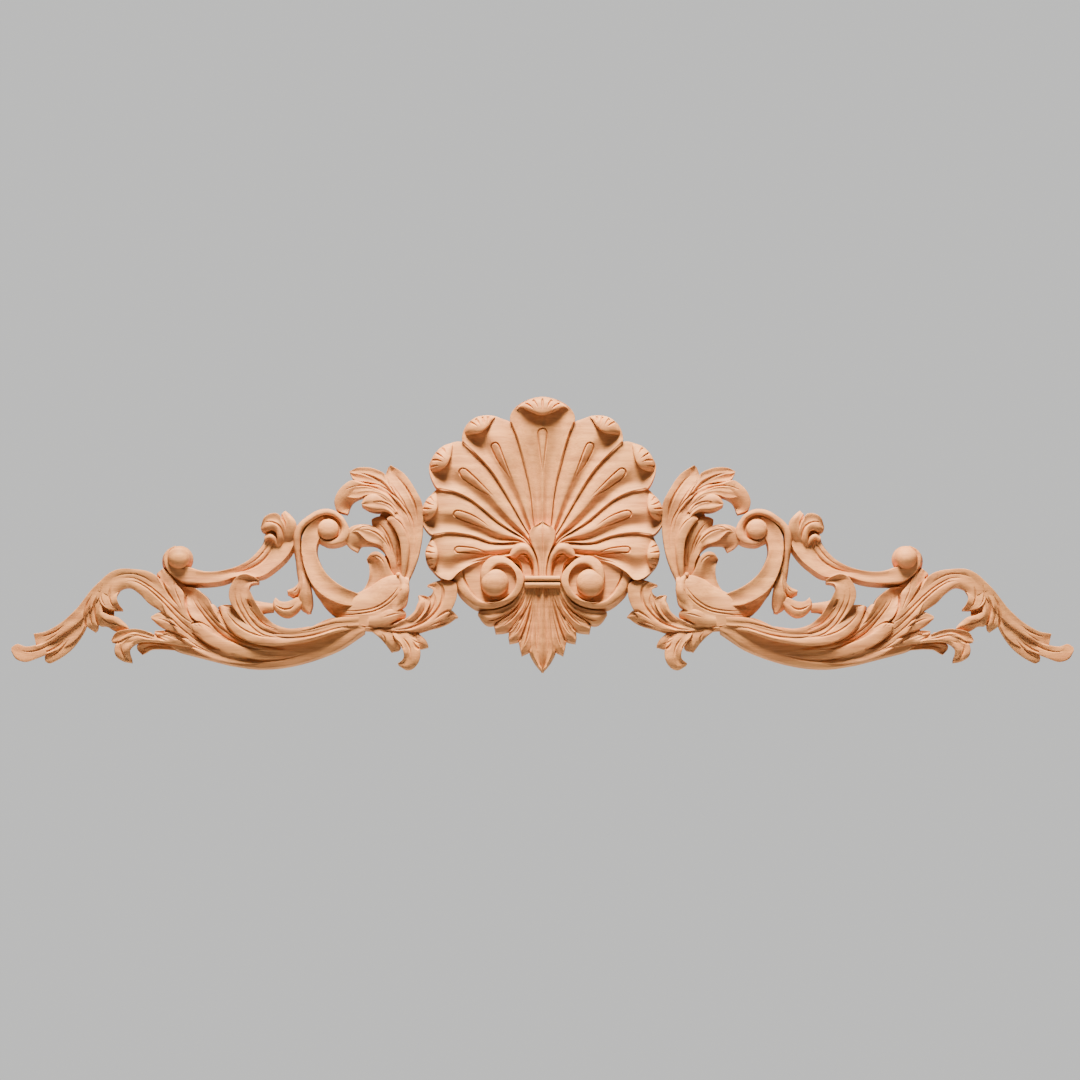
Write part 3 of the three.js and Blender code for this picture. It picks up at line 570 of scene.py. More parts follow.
TALL_LEAF_CUTS = [
    ([(127, -8), (130, 13), (138, 27), (149, 39), (164, 48), (180, 51), (190, 54)], 2.2, 2.2, (0, 1, 1, 1)),
    ([(131, -2), (134.6, 16), (143.4, 28), (156.5, 40), (172.6, 47), (187, 46.8), (196, 44)],
     2.2, 2, (0, 1, 1, 0.3)),
    ([(157, 60.4), (155.6, 55), (152.6, 50.4), (147.6, 45)], 2.4, 2.8, (1, 1, 0.7, 0)),
    ([(151, 50), (144.4, 40), (137.4, 28), (132.6, 12)], 2, 1.6),
    ([(148, 58.6), (141, 51.6), (132.4, 39), (127, 26), (125, 10)], 2.6, 2.2),
    ([(185, 60.8), (177, 58.8), (170, 56.4), (162, 52), (154, 44)], 2.4, 2),
    ([(169, 31.4), (164.6, 31.8), (158.7, 30.8), (152, 27.4), (146, 20)], 2.4, 2.2),
    ([(150, 16.4), (143.4, 11.8), (138, 5), (134, -4), (132, -14)], 2.2, 2),
    ([(146.7, 20.6), (141, 14), (136.4, 4), (134, -8)], 2.6, 2.6, (1, 1, 0.8, 0)),
    ([(164.6, 10.8), (160, 6), (155, -2), (150.6, -13), (147, -26)], 2.4, 2.2),
    ([(171, 7.6), (166.8, 5), (160, -1), (154, -10), (150, -23)], 2.8, 3, (1, 1, 1, 0)),
    ([(181, 4), (174, 3), (168, 1), (161, -4), (155, -12), (152, -22)], 2.2, 2),
    ([(183.6, 3.4), (180, 5.8), (174, 6)], 1.8, 1.2, (0, 1, 0)),
    ([(158, -33), (159, -28.5), (162, -25), (165.5, -22.8), (169, -23), (171.6, -25)], 1.8, 1.4),
    ([(145.6, -12), (144.4, -24), (145.4, -36)], 2.8, 2.4, (0, 1, 0)),
]


def lower_leaves():
    return [
        leaf("root", [(133.4, -44), (146, -42), (160, -46), (172, -54), (186, -61), (206, -70)],
            [(132.8, -56), (136, -72), (144, -78), (158, -88), (176, -97), (210, -82)],
            [BAND, BAND, HIGH, HIGH, LOW], (-5, -1.8, -0.6, -1.4, -2.4), (-5.6, -2.2, -0.8, -1.4, -2.4),
            (-5, -2, -0.6, -1.4, -2.4)),
        leaf("root_knuckle", [(143.4, -40), (137.6, -44), (133.6, -50), (132.8, -58), (134.6, -67),
            (140, -75)], [(145.4, -41), (143.4, -46), (142.4, -52), (143, -60), (146, -67), (150, -72)],
            [HIGH, BAND, BOLD - 1, BAND + 1, HIGH], (-4, -1.2, 0, -0.6, -2.6)),
        leaf("root_tongue", [(172, -82), (160, -79), (152, -76.4), (145, -75.4), (139, -77.2), (136, -80.2)],
            [(174, -96), (160, -94), (150, -91), (142, -87), (137, -84.4), (136, -82)],
            [HIGH, HIGH, BAND, HIGH, LEAF], (-1.8, -0.2, -1, -3)),
        leaf("sickle", [(178, -92), (160, -93), (146, -90), (135, -85), (127.6, -78.6), (124, -70),
            (118, -66), (111, -62), (109, -57.4), (115, -53)],
            [(178, -98.6), (150, -100), (124, -99), (106, -93), (95, -84), (88, -72), (85.2, -62),
            (86.4, -50.4), (100, -47.2), (114, -51.6)], [LOW, LEAF, HIGH, HIGH, HIGH, HIGH, LEAF],
            (-0.4, -3, -1.6, -0.4, -2)),
        leaf("sickle_finger", [(142, -87.6), (134, -84.8), (128.4, -80), (125, -73.4), (123.4, -68),
            (124, -63.4)],
            [(140, -94), (128, -91), (119, -83), (113.4, -74), (111.4, -66.4), (116.6, -63), (122.6, -62.4)],
            [LEAF, HIGH, BAND, BAND, HIGH], (-1.4, -0.4, -2.6, -3.4, -1)),
        leaf("sickle_barb", [(128, -90), (114, -84), (102, -78.6), (95, -77.6), (90.4, -77.8), (84.3, -84)],
            [(126, -102), (112, -97.4), (101, -94.5), (93, -90.8), (87, -86.4), (84.3, -85)],
            [LEAF, HIGH, LEAF, LEAF, EDGE + 1], (-0.4, -2, -0.6, -2.6, -3.6)),
        leaf("sprig_outer", [(174, -96), (165.7, -102), (159.6, -108), (155, -114), (151, -119.6)],
            [(134, -98), (136, -105), (141, -112), (141.4, -117), (149, -119)],
            [LEAF, HIGH - 2, LEAF, LOW - 2], (-3, -1, -2.6, -1)),
        leaf("sprig_middle", [(152, -96), (146, -107), (141, -114), (138.4, -120), (138.8, -126),
            (144.4, -131)],
            [(130, -97), (124, -110), (121.5, -120), (123, -129), (128, -135.6), (135, -137.7),
            (142.6, -133.6)], [LEAF, HIGH - 1, HIGH, HIGH, LEAF, EDGE], (-0.6, -2.6, -1, -0.6, -3)),
        leaf("sprig_inner", [(140, -97), (130, -103), (126, -113), (123, -116.5), (114.4, -115)],
            [(128, -97), (122, -102.3), (117.4, -106.4), (115, -110), (113.6, -113.6)],
            [LOW, LEAF, LEAF, LOW - 2], (-1, -1.2, -0.4, -2)),
    ]


LOWER_LEAF_CUTS = [
    ([(141, -50), (145.4, -57.6), (155, -68), (167, -75), (182, -78), (200, -78.5)], 2.2, 2),
    ([(140.4, -56), (145, -63), (155, -72), (168, -78.4), (187, -81.6), (203, -83)], 2.2, 2),
    ([(136.7, -85.4), (144, -88.4), (154.4, -92), (166, -93.6), (180, -94)], 2.8, 3, (1, 1, 0.7, 0)),
    ([(140, -80.6), (148, -81.6), (160, -85)], 2, 1.4, (0, 1, 0)),
    ([(106.6, -48.6), (101.6, -51.6), (99.2, -57.7), (99.5, -65), (102, -73), (107, -80), (114, -86.6),
      (123, -92), (136, -96.4), (152, -97.6)], 3, 3, (0.6, 1, 1, 1, 0)),
    ([(107.8, -61.6), (107, -69), (109.4, -76), (116, -84), (126, -89.6)], 2.4, 2.4, (0.4, 1, 0.6, 0)),
    ([(118, -69), (117.6, -75), (121, -82), (128, -87.6)], 2, 1.6, (0, 1, 0)),
    ([(90.4, -77.6), (95.4, -78.6), (101, -82), (108, -87.6)], 2.8, 2.8, (1, 1, 0)),
    ([(89, -84.6), (97, -86.4), (105, -90), (114, -94.4)], 2.2, 1.8, (0, 1, 0)),
    ([(92.6, -88.6), (101, -91.6), (110, -95)], 2, 1.4, (0, 1, 0)),
    ([(164, -98.4), (146, -99.4), (134, -98.8), (124, -101.4)], 2.4, 2, (0, 1, 1, 0.4)),
    ([(140, -116), (143, -111), (147.4, -107), (151, -102)], 2.8, 2.8, (1, 1, 0)),
    ([(157, -111), (157.4, -105), (161, -100)], 2, 1.4, (0, 1, 0)),
    ([(123.4, -116.8), (127, -113.6), (129.6, -108)], 2.8, 2.6, (1, 1, 0)),
    ([(118, -112), (125, -110), (131, -106)], 2, 1.6, (0, 1, 0)),
    ([(121, -104.6), (127, -105), (133, -103)], 1.8, 1.2, (0, 1, 0)),
    ([(140, -104), (134.6, -111), (131.6, -119), (132, -127)], 2.2, 2, (0, 1, 0.6, 0)),
]


def c_scroll():
    return [
        leaf("scroll_face", [(219, 17), (231, 10.6), (238.4, 0), (240.6, -12), (239.4, -26), (236, -38),
            (230.6, -50), (222, -60), (210, -67.6), (197, -72.4), (183, -73)],
            [(213, 4), (220, -2), (224.8, -11), (225.4, -20), (222, -30), (216, -40), (207, -48.6),
            (196, -55.6), (183, -61)], [HIGH, HIGH, HIGH + 1, BAND, BAND, BAND, LEAF],
            (0.4, -1.4, -2.2, -1.6, 0)),
        leaf("scroll_under", [(226.6, -61), (222.4, -66.4), (218, -72.6), (213, -78), (206, -84)],
            [(232, -50), (224, -59), (215, -65), (208, -69), (198, -73)], [LOW, LOW, LOW, LOW], slope(-3, 3)),
        leaf("scroll_rim", [(242.6, -52), (245, -38), (246.4, -24), (248.4, -10), (247.6, 2), (243, 9.6),
            (233, 18), (222, 23.6), (211, 23.8), (202, 19), (195, 9.4), (192.6, 0), (196.4, -8), (204, -11.4),
            (214, -12), (222, -8)],
            [(240, -52), (240.4, -38), (241, -24), (241.8, -10), (240.6, 0), (236.6, 6.6), (228, 13.4),
            (219, 17.8), (211, 17.6), (204.6, 13.6), (200.8, 6), (201.6, -0.6), (205, -5), (210, -7.2),
            (215, -7.4), (221, -4)], [LOW, LEAF, HIGH, BAND, BAND + 1, BAND + 1, BAND, BAND, HIGH],
            (-1.6, -0.2, -0.6, -2.8)),
        ball("scroll_floor", (214, 4), 13.6, HIGH - 3, HIGH - 2),
        ball("scroll_ball", (213.8, 3.8), 10.6, HIGH - 1, BOLD),
        leaf("scroll_stem", [(248.6, -14), (246.4, -26), (244.6, -36), (243, -44), (243.6, -50),
            (247.6, -54.6), (254.3, -57.6)],
            [(238, -20), (236, -36), (234, -46), (236.4, -54), (242, -61), (248, -64), (253.8, -61)],
            [LEAF, LEAF, LEAF, LEAF, LOW], (-2, -0.4, -1.4, -2.4)),
        leaf("scroll_drop", [(240.6, -38), (241.6, -50), (243.6, -60), (243, -69), (239.6, -76.6),
            (234, -80)], [(234, -40), (231.6, -54), (230, -64), (229.6, -73), (231.6, -79.6)],
            [LEAF, HIGH, HIGH, LEAF, LOW], (-2.4, -0.4, -1, -2.4, -2)),
    ]


C_SCROLL_CUTS = [
    ([(241.4, -2), (241.2, -14), (240, -27), (236.6, -39), (231, -51)], 2, 1.8),
    ([(251, -66.6), (246, -64.6), (242.4, -60), (240.4, -52), (240, -42)], 2.4, 3, (1, 1, 0.6, 0)),
    ([(250.6, -59.6), (246, -57.6), (243, -52)], 1.8, 1.4, (0, 1, 0)),
]


def long_scroll():
    return [
        leaf("long_band", [(276, -3.6), (277.4, -9), (281.8, -16), (290.4, -25), (303, -32.7), (319, -37.5),
            (334, -38.8), (346, -37), (356, -33)],
            [(246, -2), (249.6, -15), (257, -26), (268, -35.8), (282, -44), (303.5, -43.4), (320, -48.6),
            (339.5, -50.4), (360, -48.4)], [LEAF, HIGH - 2, HIGH, HIGH, HIGH, HIGH, HIGH],
            (-1, -1.8, -2.4, -1.6, 0), (-1, -3, -4, -2.4, 0), (-0.6, -1.6, -2, -1.2, 0),
            (0, -0.8, -1, -0.6, 0)),
        leaf("long_coil", [(346, -37.2), (356, -35.8), (364, -33.8), (370, -29.8), (372.8, -24.6),
            (371.8, -18.4), (367, -14.2)],
            [(344, -50.6), (357, -49.4), (368, -43.4), (375.4, -34.6), (377.6, -27), (376.4, -20),
            (371.4, -15), (367.6, -13.6)], [HIGH, HIGH, HIGH, HIGH, HIGH], (-0.2, -0.9, -1.1, -0.7, -0.2),
            (-0.4, -0.3, -0.2, -0.3, -0.4)),
        ball("long_ball", (362.8, -24.6), 11.2, HIGH - 1, CREST),
        ball("tuft_floor", (270, -1), 6, EDGE, EDGE + 2),
        leaf("tuft_inner", [(253, -19), (249.4, -9), (245.6, 1), (246, 10.6), (251, 17.6), (257, 22.4)],
            [(260, -22), (261, -9), (259.4, 4), (258.6, 12), (261, 18), (259, 20.6)],
            [LOW - 2, LEAF - 2, HIGH, BAND, BAND, LEAF], (-1.6, -0.2, -2, -3)),
        leaf("tuft_outer", [(259, -25), (254.6, -8), (256.4, 5), (260, 15), (265, 19.8), (272, 19.4),
            (278, 15.4), (281.3, 6)],
            [(268, -26), (265.4, -12), (265, -3), (267, 1.8), (271, 3), (275, 1.4), (278.8, 1.2), (281, 3.4)],
            [LOW - 2, LEAF - 3, HIGH, BAND, BAND, BAND, LEAF], (-0.6, -2.2, -0.6, -3)),
        leaf("long_lip", [(277.6, -3.4), (272, -0.8), (266.8, -3.8), (263.8, -9.4)],
            [(276.8, -8.6), (272, -6), (268.4, -8.6), (265.6, -13)], [HIGH - 1, HIGH + 1, LEAF + 1], dome(2)),
        leaf("cup", [(235, -108), (262, -106), (284, -100), (298, -88), (307, -76), (312, -66), (312, -57),
            (308, -48), (303, -42.6), (296, -41), (288, -43.6), (282.5, -47)],
            [(232, -94), (252, -96), (267, -91.5), (277, -83), (286, -69), (290, -61), (292.3, -55.4),
            (291, -51.6), (288, -50.4), (283, -49.8)], [LOW, LEAF, HIGH, HIGH, BAND, BOLD, BOLD, BAND],
            (0, -1.4, -2.6, -1.2), (0, -2, -4, -2), (0, -5, -6, -3)),
        leaf("cup_arm", [(296, -64), (286, -68), (278, -69.6), (268, -71)],
            [(286, -86), (282, -81.4), (276, -79.6), (268, -78.6)], [HIGH, LEAF, LEAF], (-1.6, -0.2, -1.6)),
        leaf("hanging_bud", [(240, -66), (244.6, -64.6), (250, -67.4), (256, -69), (261.6, -68.4),
            (266.2, -64.9)],
            [(239, -72), (242.4, -78), (247.4, -82.4), (253, -85), (259.6, -84), (265.4, -80), (269.2, -74),
            (268.4, -68.6)], [LEAF, HIGH, HIGH, LEAF], (-0.6, -0.4, 0, -3)),
    ]


LONG_SCROLL_CUTS = [
    ([(278.6, 9.6), (273.5, 11.4), (267.3, 10), (262.4, 6.6), (259.3, 0), (257.6, -9)], 2.4, 2.2),
    ([(260.6, 18.4), (259.8, 14.6), (257.6, 11), (256.4, 4)], 2.6, 2.6, (1, 1, 0)),
    ([(269, -10), (271.4, -18), (279, -28), (291, -35.6), (306, -40)], 3, 2.2, (0.6, 1, 0.8, 0)),
    ([(273, -9), (276.4, -16.6), (284.6, -26), (297, -34)], 2.4, 1.8, (0.6, 1, 0.6, 0)),
    ([(266.6, -72), (262.6, -74.8), (257, -76.6), (251, -75.6), (246, -71.6)], 2.2, 2.6, (0.3, 1, 1, 0)),
    ([(306, -56), (306, -66), (302.4, -76), (296, -87), (288.5, -95.7), (278, -102.6), (258, -106)],
     2.4, 2.2, (0, 1, 1, 1, 0)),
    ([(301, -58), (300.6, -67), (297, -76), (291, -86), (282, -95), (268, -100.6), (250, -102)],
     2.2, 2, (0, 1, 1, 1, 0)),
    ([(296, -66), (292.6, -74), (286, -83), (278, -91.4), (264, -97)], 2, 1.8),
    ([(293.6, -66), (292.8, -70.6), (289, -75.4)], 3.4, 5, (0.3, 1, 0)),
    ([(306, -46.6), (299, -46.4), (293, -46.6), (289, -48.6)], 2, 1.2, (0, 1, 0.4)),
]


def wing_leaf():
    return [
        leaf("wing_bed", [(176, -93), (207, -85), (245, -100), (280, -100), (306, -94), (320, -86),
            (331, -74), (345, -60), (368, -46)],
            [(177, -98.6), (204, -117), (244, -131.4), (280, -135.6), (310, -132), (340, -124), (362, -118.4),
            (378, -110)], [HIGH, LOW, LOW, LOW, LOW], (0, -1, -1.4, -1.6, -3)),
        leaf("wing_stem", [(183, -84), (205, -85.4), (225, -92.6), (240, -96), (256, -95.8), (268, -91.4),
            (277, -83.6)],
            [(183, -93), (205, -95), (222, -100), (240, -103.6), (256, -104.4), (272, -102), (288, -95)],
            [HIGH, HIGH, HIGH, HIGH, LEAF], (0, -0.4, -1.4, -0.8)),
        leaf("wing_upper", [(190, -86), (212, -93), (233, -100), (256, -101), (274, -95), (288, -85),
            (299, -76), (309, -72.4), (318, -72)],
            [(182, -96), (206, -99.6), (228, -106.4), (248, -110.6), (270, -112.4), (292, -109), (306, -101),
            (316, -90), (321, -79), (322, -73.4)], [LEAF, HIGH, HIGH, HIGH, BAND, HIGH, LEAF],
            (-1.6, -3, -1, 0, -0.6)),
        leaf("wing_spear", [(238, -112), (262, -116), (284, -112), (306, -100), (322, -86), (330, -73),
            (333, -66.6), (339, -60.6), (348, -54.8), (359.6, -53.8)],
            [(238, -120), (262, -124), (286, -123), (308, -118), (326, -108), (342, -92), (350, -84),
            (354.6, -76), (355.6, -66), (361, -57.6)], [EDGE, LOW, LEAF, LEAF, HIGH, HIGH, LOW],
            (-1, -0.6, -1.8, -0.4), (-1, -0.4, -2, -0.4), (0.6, -3, -4.6, -0.8), (0.6, -4, -5, -1)),
        leaf("wing_back", [(264, -122), (296, -121), (320, -114), (338, -100), (350, -85), (356, -70),
            (358, -60), (366, -50), (372, -40), (378.5, -35.5)],
            [(266, -131), (300, -131), (330, -125), (352, -113), (366, -96), (377, -77), (384, -58),
            (386, -48), (384, -40)], [EDGE, LOW, LEAF, LEAF, HIGH, HIGH, LEAF], (-1, -0.2, -1.4, -1, 0)),
        leaf("wing_nib", [(302, -104), (314, -92), (322.4, -80), (325, -75.4), (328, -71.8), (331.4, -71.2)],
            [(308, -110), (321, -99), (331, -86), (335, -79), (334, -73.4)],
            [LOW, LEAF, LEAF + 1, HIGH - 1, LEAF], (-1.4, -0.2, -1.4, -1.6)),
        leaf("wing_tongue", [(236, -112), (262, -116.4), (286, -116), (308, -110), (326, -102), (340, -93),
            (344, -90.4), (349, -91.6)],
            [(236, -120), (262, -126), (290, -126), (312, -121.4), (328, -115), (341, -106), (347.6, -99.4),
            (349.4, -94)], [EDGE, LOW, LEAF + 1, HIGH, HIGH - 1], (-0.6, 0, -0.4, -1.4)),
    ]


WING_LEAF_CUTS = [
    ([(355.6, -62), (355.8, -71.7), (354, -79), (350, -85.4), (345.4, -88.4)], 2.6, 4, (0.6, 1, 1, 0.4)),
    ([(349, -100), (342.6, -106), (335.6, -111.4), (327, -115.6), (321, -117)], 3.4, 5.6, (0.4, 1, 1, 0.3)),
    ([(350, -91), (344, -89.4), (337, -91.6), (329, -97)], 2.2, 2.4, (0.6, 1, 0.8, 0)),
    ([(310, -120.6), (300, -124.4), (290, -127), (274, -128.2), (256, -126.6), (238, -121.6)],
     3, 3, (0.3, 1, 1, 0.8, 0)),
    ([(350, -62), (347, -70), (340, -80), (331, -91), (321, -101), (308, -109.4), (292, -115), (272, -117)],
     2.2, 2, (0, 1, 1, 1, 0)),
    ([(345, -66), (340, -74), (332, -84), (322, -94), (310, -103), (296, -110), (278, -114)],
     2.2, 2, (0, 1, 1, 1, 0)),
    ([(336, -72.4), (329, -82), (320, -91), (311, -98)], 2, 1.8),
    ([(315.6, -78), (311, -85.5), (304, -92.6), (294, -99), (280, -103.6), (262, -105.4)],
     2.2, 2, (0, 1, 1, 1, 0)),
    ([(323, -79), (322.6, -82.6), (319, -90), (312, -98), (303, -105), (290, -110.6), (272, -113.6)],
     2.6, 2.6, (1, 1, 1, 1, 0)),
    ([(245, -99.6), (232, -97), (218, -93), (205, -90), (194, -90)], 2, 1.8),
    ([(252, -107), (236, -104.6), (221, -101), (206, -96), (194, -93)], 2.2, 2),
    ([(368, -47), (366.4, -57), (361, -70), (357.6, -80)], 1.8, 1.4, (0, 1, 0)),
    ([(387, -41), (381, -46.6), (375.6, -56), (370, -65), (362, -75)], 2.6, 3.4, (1, 1, 1, 0)),
    ([(375, -80), (366, -90), (356, -99), (345, -107.4), (334, -113)], 2, 1.8),
    ([(377, -101), (366, -104.6), (356, -110), (346, -115), (334, -119.4)], 2.2, 2),
    ([(356, -105), (346, -112.4), (337, -117.6), (328, -121)], 2, 1.6, (0, 1, 0)),
]


def wing_end():
    return [
        leaf("arch", [(330, -92), (350, -74), (368, -58), (385, -43), (394, -38.4), (408, -36.2), (421, -36),
            (430, -39), (439, -46), (447, -56)],
            [(334, -112), (352, -98), (369, -88), (381, -78), (393, -70), (402, -60.4), (410.6, -54.6),
            (418, -55.6), (423, -59.4), (424.4, -66)], [LOW, LEAF, HIGH, HIGH, HIGH, HIGH - 1],
            (0, -1.4, -0.4, -1.8), (0, -2, -0.6, -2.4), (0, -1.4, -1, -1.6)),
        leaf("arch_bed", [(447, -58), (447, -74), (442, -87)], [(427, -58), (427, -72), (427, -84)],
            [LOW, LOW, LOW], (0, 0)),
        leaf("arch_hook", [(438, -50), (441, -60), (441, -69), (434, -76), (427, -77.6), (419, -78)],
            [(420.6, -57), (424.2, -63), (423.6, -68), (421, -73.4), (418.5, -76.4)], [LEAF, HIGH, HIGH, LOW],
            (-1, -2.6, -0.6)),
        leaf("arch_lobe", [(434, -54), (437, -68), (438.6, -77), (433, -82), (424, -84.4), (416, -90.7),
            (412.3, -95)],
            [(448, -60), (449, -74), (446, -84), (442, -92.8), (435, -93.6), (426, -98.6), (413, -97)],
            [LEAF - 1, HIGH - 2, HIGH, LEAF, LEAF], (-2, -0.2, -2.4, -5)),
        leaf("arch_finger", [(448, -58), (454, -70), (456, -84), (455, -93), (451, -96.2), (446.6, -99.4)],
            [(440, -62), (443.6, -76), (443, -86), (442.2, -93), (443.4, -97.6), (445.8, -99.4)],
            [LOW, LEAF, LEAF, LEAF, EDGE], (-1, -2, -0.4, -2.4)),
        leaf("end_upper", [(428, -38), (438, -45.4), (450, -57.2), (463, -74.2), (471, -82.4), (478, -88.6),
            (487, -94.6), (496, -99), (507.6, -101.2)],
            [(437, -58), (447, -72), (458, -86), (470, -96), (482, -104), (492, -110), (499, -113.6),
            (505, -112.6)], [LEAF, HIGH, LEAF + 1, LEAF, EDGE], (0, -0.8, -1.2, -0.8, -0.8)),
        leaf("end_middle", [(452, -74), (466, -88), (478, -97.6), (490, -106), (503, -111.8), (515, -114),
            (524, -111.5), (529.6, -115)],
            [(453, -86), (460, -101), (470, -111), (482, -117), (494, -121.6), (506, -126.4), (516, -129.4),
            (525, -126.6), (529.7, -119)], [LEAF, LEAF - 1, LOW + 1, LOW, EDGE], (0, -1.4, -2.2, -2, -1.2),
            (0, -1.4, -2.2, -1.8, -1), (-1, -1, -1, -0.6, -1)),
        leaf("end_lower", [(453, -78), (461, -94), (470, -104.6), (480, -112.4), (488, -117.6), (494.6, -121),
            (496.4, -125)],
            [(451.6, -86), (456.6, -99), (463, -109.4), (470, -117.6), (478, -124), (486, -128.8),
            (492, -131), (495.8, -129)], [LEAF, LOW, LOW, EDGE], (0, -1, -1.4, -1.4),
            (-0.6, -0.8, -0.8, -1.4)),
        leaf("curl_tongue", [(350, -96), (368, -98.6), (387, -101.5), (396, -98), (405, -96.2), (416, -97),
            (425.4, -100), (430, -107.5)],
            [(350, -112), (368, -111.6), (384, -110), (398, -109.4), (410, -112), (420, -112.4), (429, -110)],
            [LOW, LEAF, HIGH, HIGH, LOW], (-0.4, -2.4, -0.6, -2)),
        leaf("curl_hook", [(390, -100), (402, -98.6), (414, -101.6), (422, -107), (426.2, -115),
            (425.2, -123), (419, -128.4), (409, -131)],
            [(386, -109), (398, -109), (405, -111), (410, -115.4), (410.6, -121), (409, -127)],
            [LOW, HIGH, HIGH, HIGH, EDGE], (-1, -0.4, -2.4, -0.6, -2)),
        leaf("curl_spur", [(366, -110), (384, -108.6), (398, -109.4), (404, -112), (404, -117),
            (400, -121.5)], [(366, -118), (381, -116.6), (390, -117.4), (395, -120.4), (398.6, -122)],
            [EDGE, LOW, EDGE], (0, -3.4, -2)),
        leaf("claw_upper", [(352, -70), (366, -74), (376, -77.6), (384, -80.4), (390.3, -84)],
            [(346, -98), (362, -99.4), (376, -97), (384, -92), (390, -86)], [LOW, HIGH - 2, HIGH - 2, LEAF],
            (-0.6, -1, -0.2, -1.8)),
        leaf("claw_lower", [(344, -94), (362, -96.4), (377, -97.6), (386.5, -98.4)],
            [(344, -116), (362, -113), (376, -108), (386.6, -101)], [LOW, LEAF, LEAF],
            (-0.2, -2, -0.6, -2.4)),
    ]


WING_END_CUTS = [
    ([(419, -45.4), (407, -45.6), (398.6, -49.5), (390, -55), (380, -63.4), (370, -73), (358, -84.4),
      (344, -94)], 2.2, 2, (0, 1, 1, 1, 0)),
    ([(417, -49), (407, -48.8), (398, -53), (388, -60.6), (378, -70), (367, -82), (354, -94), (340, -103)],
     2.2, 2, (0, 1, 1, 1, 0)),
    ([(428, -44.6), (418, -41.4), (407, -41), (397, -44.6), (386, -52)], 2, 1.4),
    ([(383, -79.6), (377, -82), (370, -86.4), (362, -93)], 2.4, 2.2, (0.6, 1, 1, 0)),
    ([(386, -85.4), (377, -87.6), (368, -92), (360, -97)], 2, 1.8, (0, 1, 0)),
    ([(377, -97.4), (369, -99.6), (360, -103.4), (350, -108)], 2.8, 2.8, (1, 1, 1, 0)),
    ([(387, -101.8), (381, -106), (374, -108.6)], 2.6, 2.6, (1, 1, 0)),
    ([(382, -100.6), (372, -103.4), (362, -108)], 1.8, 1.4, (0, 1, 0)),
    ([(444, -62), (446.6, -73), (446.4, -83), (442.6, -93)], 2.6, 2.6, (0, 1, 1, 1)),
    ([(450, -68), (452, -78), (450.4, -88), (447.6, -95)], 2, 1.6),
    ([(449, -62), (454, -72), (456, -82), (455.8, -93)], 2.6, 2.6, (0, 1, 1, 1)),
    ([(440, -84.6), (434.6, -88.4), (427, -91), (420, -93)], 2.2, 2),
    ([(430, -52), (432, -63), (430, -71), (425, -75)], 2, 1.6),
    ([(438.6, -79), (430, -79.4), (424, -80.6)], 3, 3.4, (0.3, 1, 1)),
    ([(439, -52), (440.6, -63), (438, -70.6), (434, -75)], 2, 1.6),
    ([(521, -118.4), (512, -119.4), (503, -117.6), (494, -113.6), (485, -107.4), (476, -101)], 2.2, 1.8),
    ([(493, -126), (486, -121.6), (478, -114.4), (472, -107)], 2.2, 2, (0.3, 1, 1, 0)),
    ([(494.6, -119.6), (488, -116.8), (481, -112), (474, -104.6)], 2.4, 2.2, (1, 1, 0.6, 0)),
    ([(502, -105), (493.5, -102.4), (484, -98), (477, -92.6)], 2.2, 1.8),
    ([(505, -112.4), (497, -110), (488, -104.6), (479, -98)], 2.4, 2.2, (1, 0.8, 0.4, 0)),
    ([(414, -102.6), (403, -103), (394, -105.4), (384, -107)], 2.2, 2),
    ([(420.6, -110), (419.8, -118), (415, -126)], 2.2, 1.8, (0.3, 1, 0.3)),
    ([(425.4, -110.8), (420, -109.4), (414, -105.4), (407, -103.4)], 2.6, 2.4, (1, 1, 0)),
    ([(400, -117), (392, -113.8), (380, -113)], 2, 1.6, (0, 1, 0)),
    ([(404.6, -111.4), (395, -109.8), (382, -110.6), (366, -113)], 2.8, 3, (1, 1, 1, 0)),
]


# The drawn width and depth of a cut are taken times CUT_BREADTH and CUT_DEPTH. Where it dies out it
# keeps END_BREADTH of its width and LEAST_STRENGTH of its depth.
CUT_BREADTH = 1.5
CUT_DEPTH = 0.8
END_BREADTH = 0.3
LEAST_STRENGTH = 0.03

# How far the cutter stands over the surface and spreads there, how much higher or lower one side of
# a cut may lie than its middle, and how far in front of the back a ray starts, in millimetres
TOOL_CLEAR = 2.5
TOOL_FLARE = 0.4
STEEPEST = 5
RAY_START = 60


def height_at(surface, point):
    """How far the carving stands out of its back at a drawn point."""
    start = Vector((point.x, -RAY_START, point.y - RAY_START * RISE)) * MM
    hit, _, _, _ = surface.ray_cast(start, Vector((0, 1, RISE)).normalized())
    return None if hit is None else -hit.y / MM


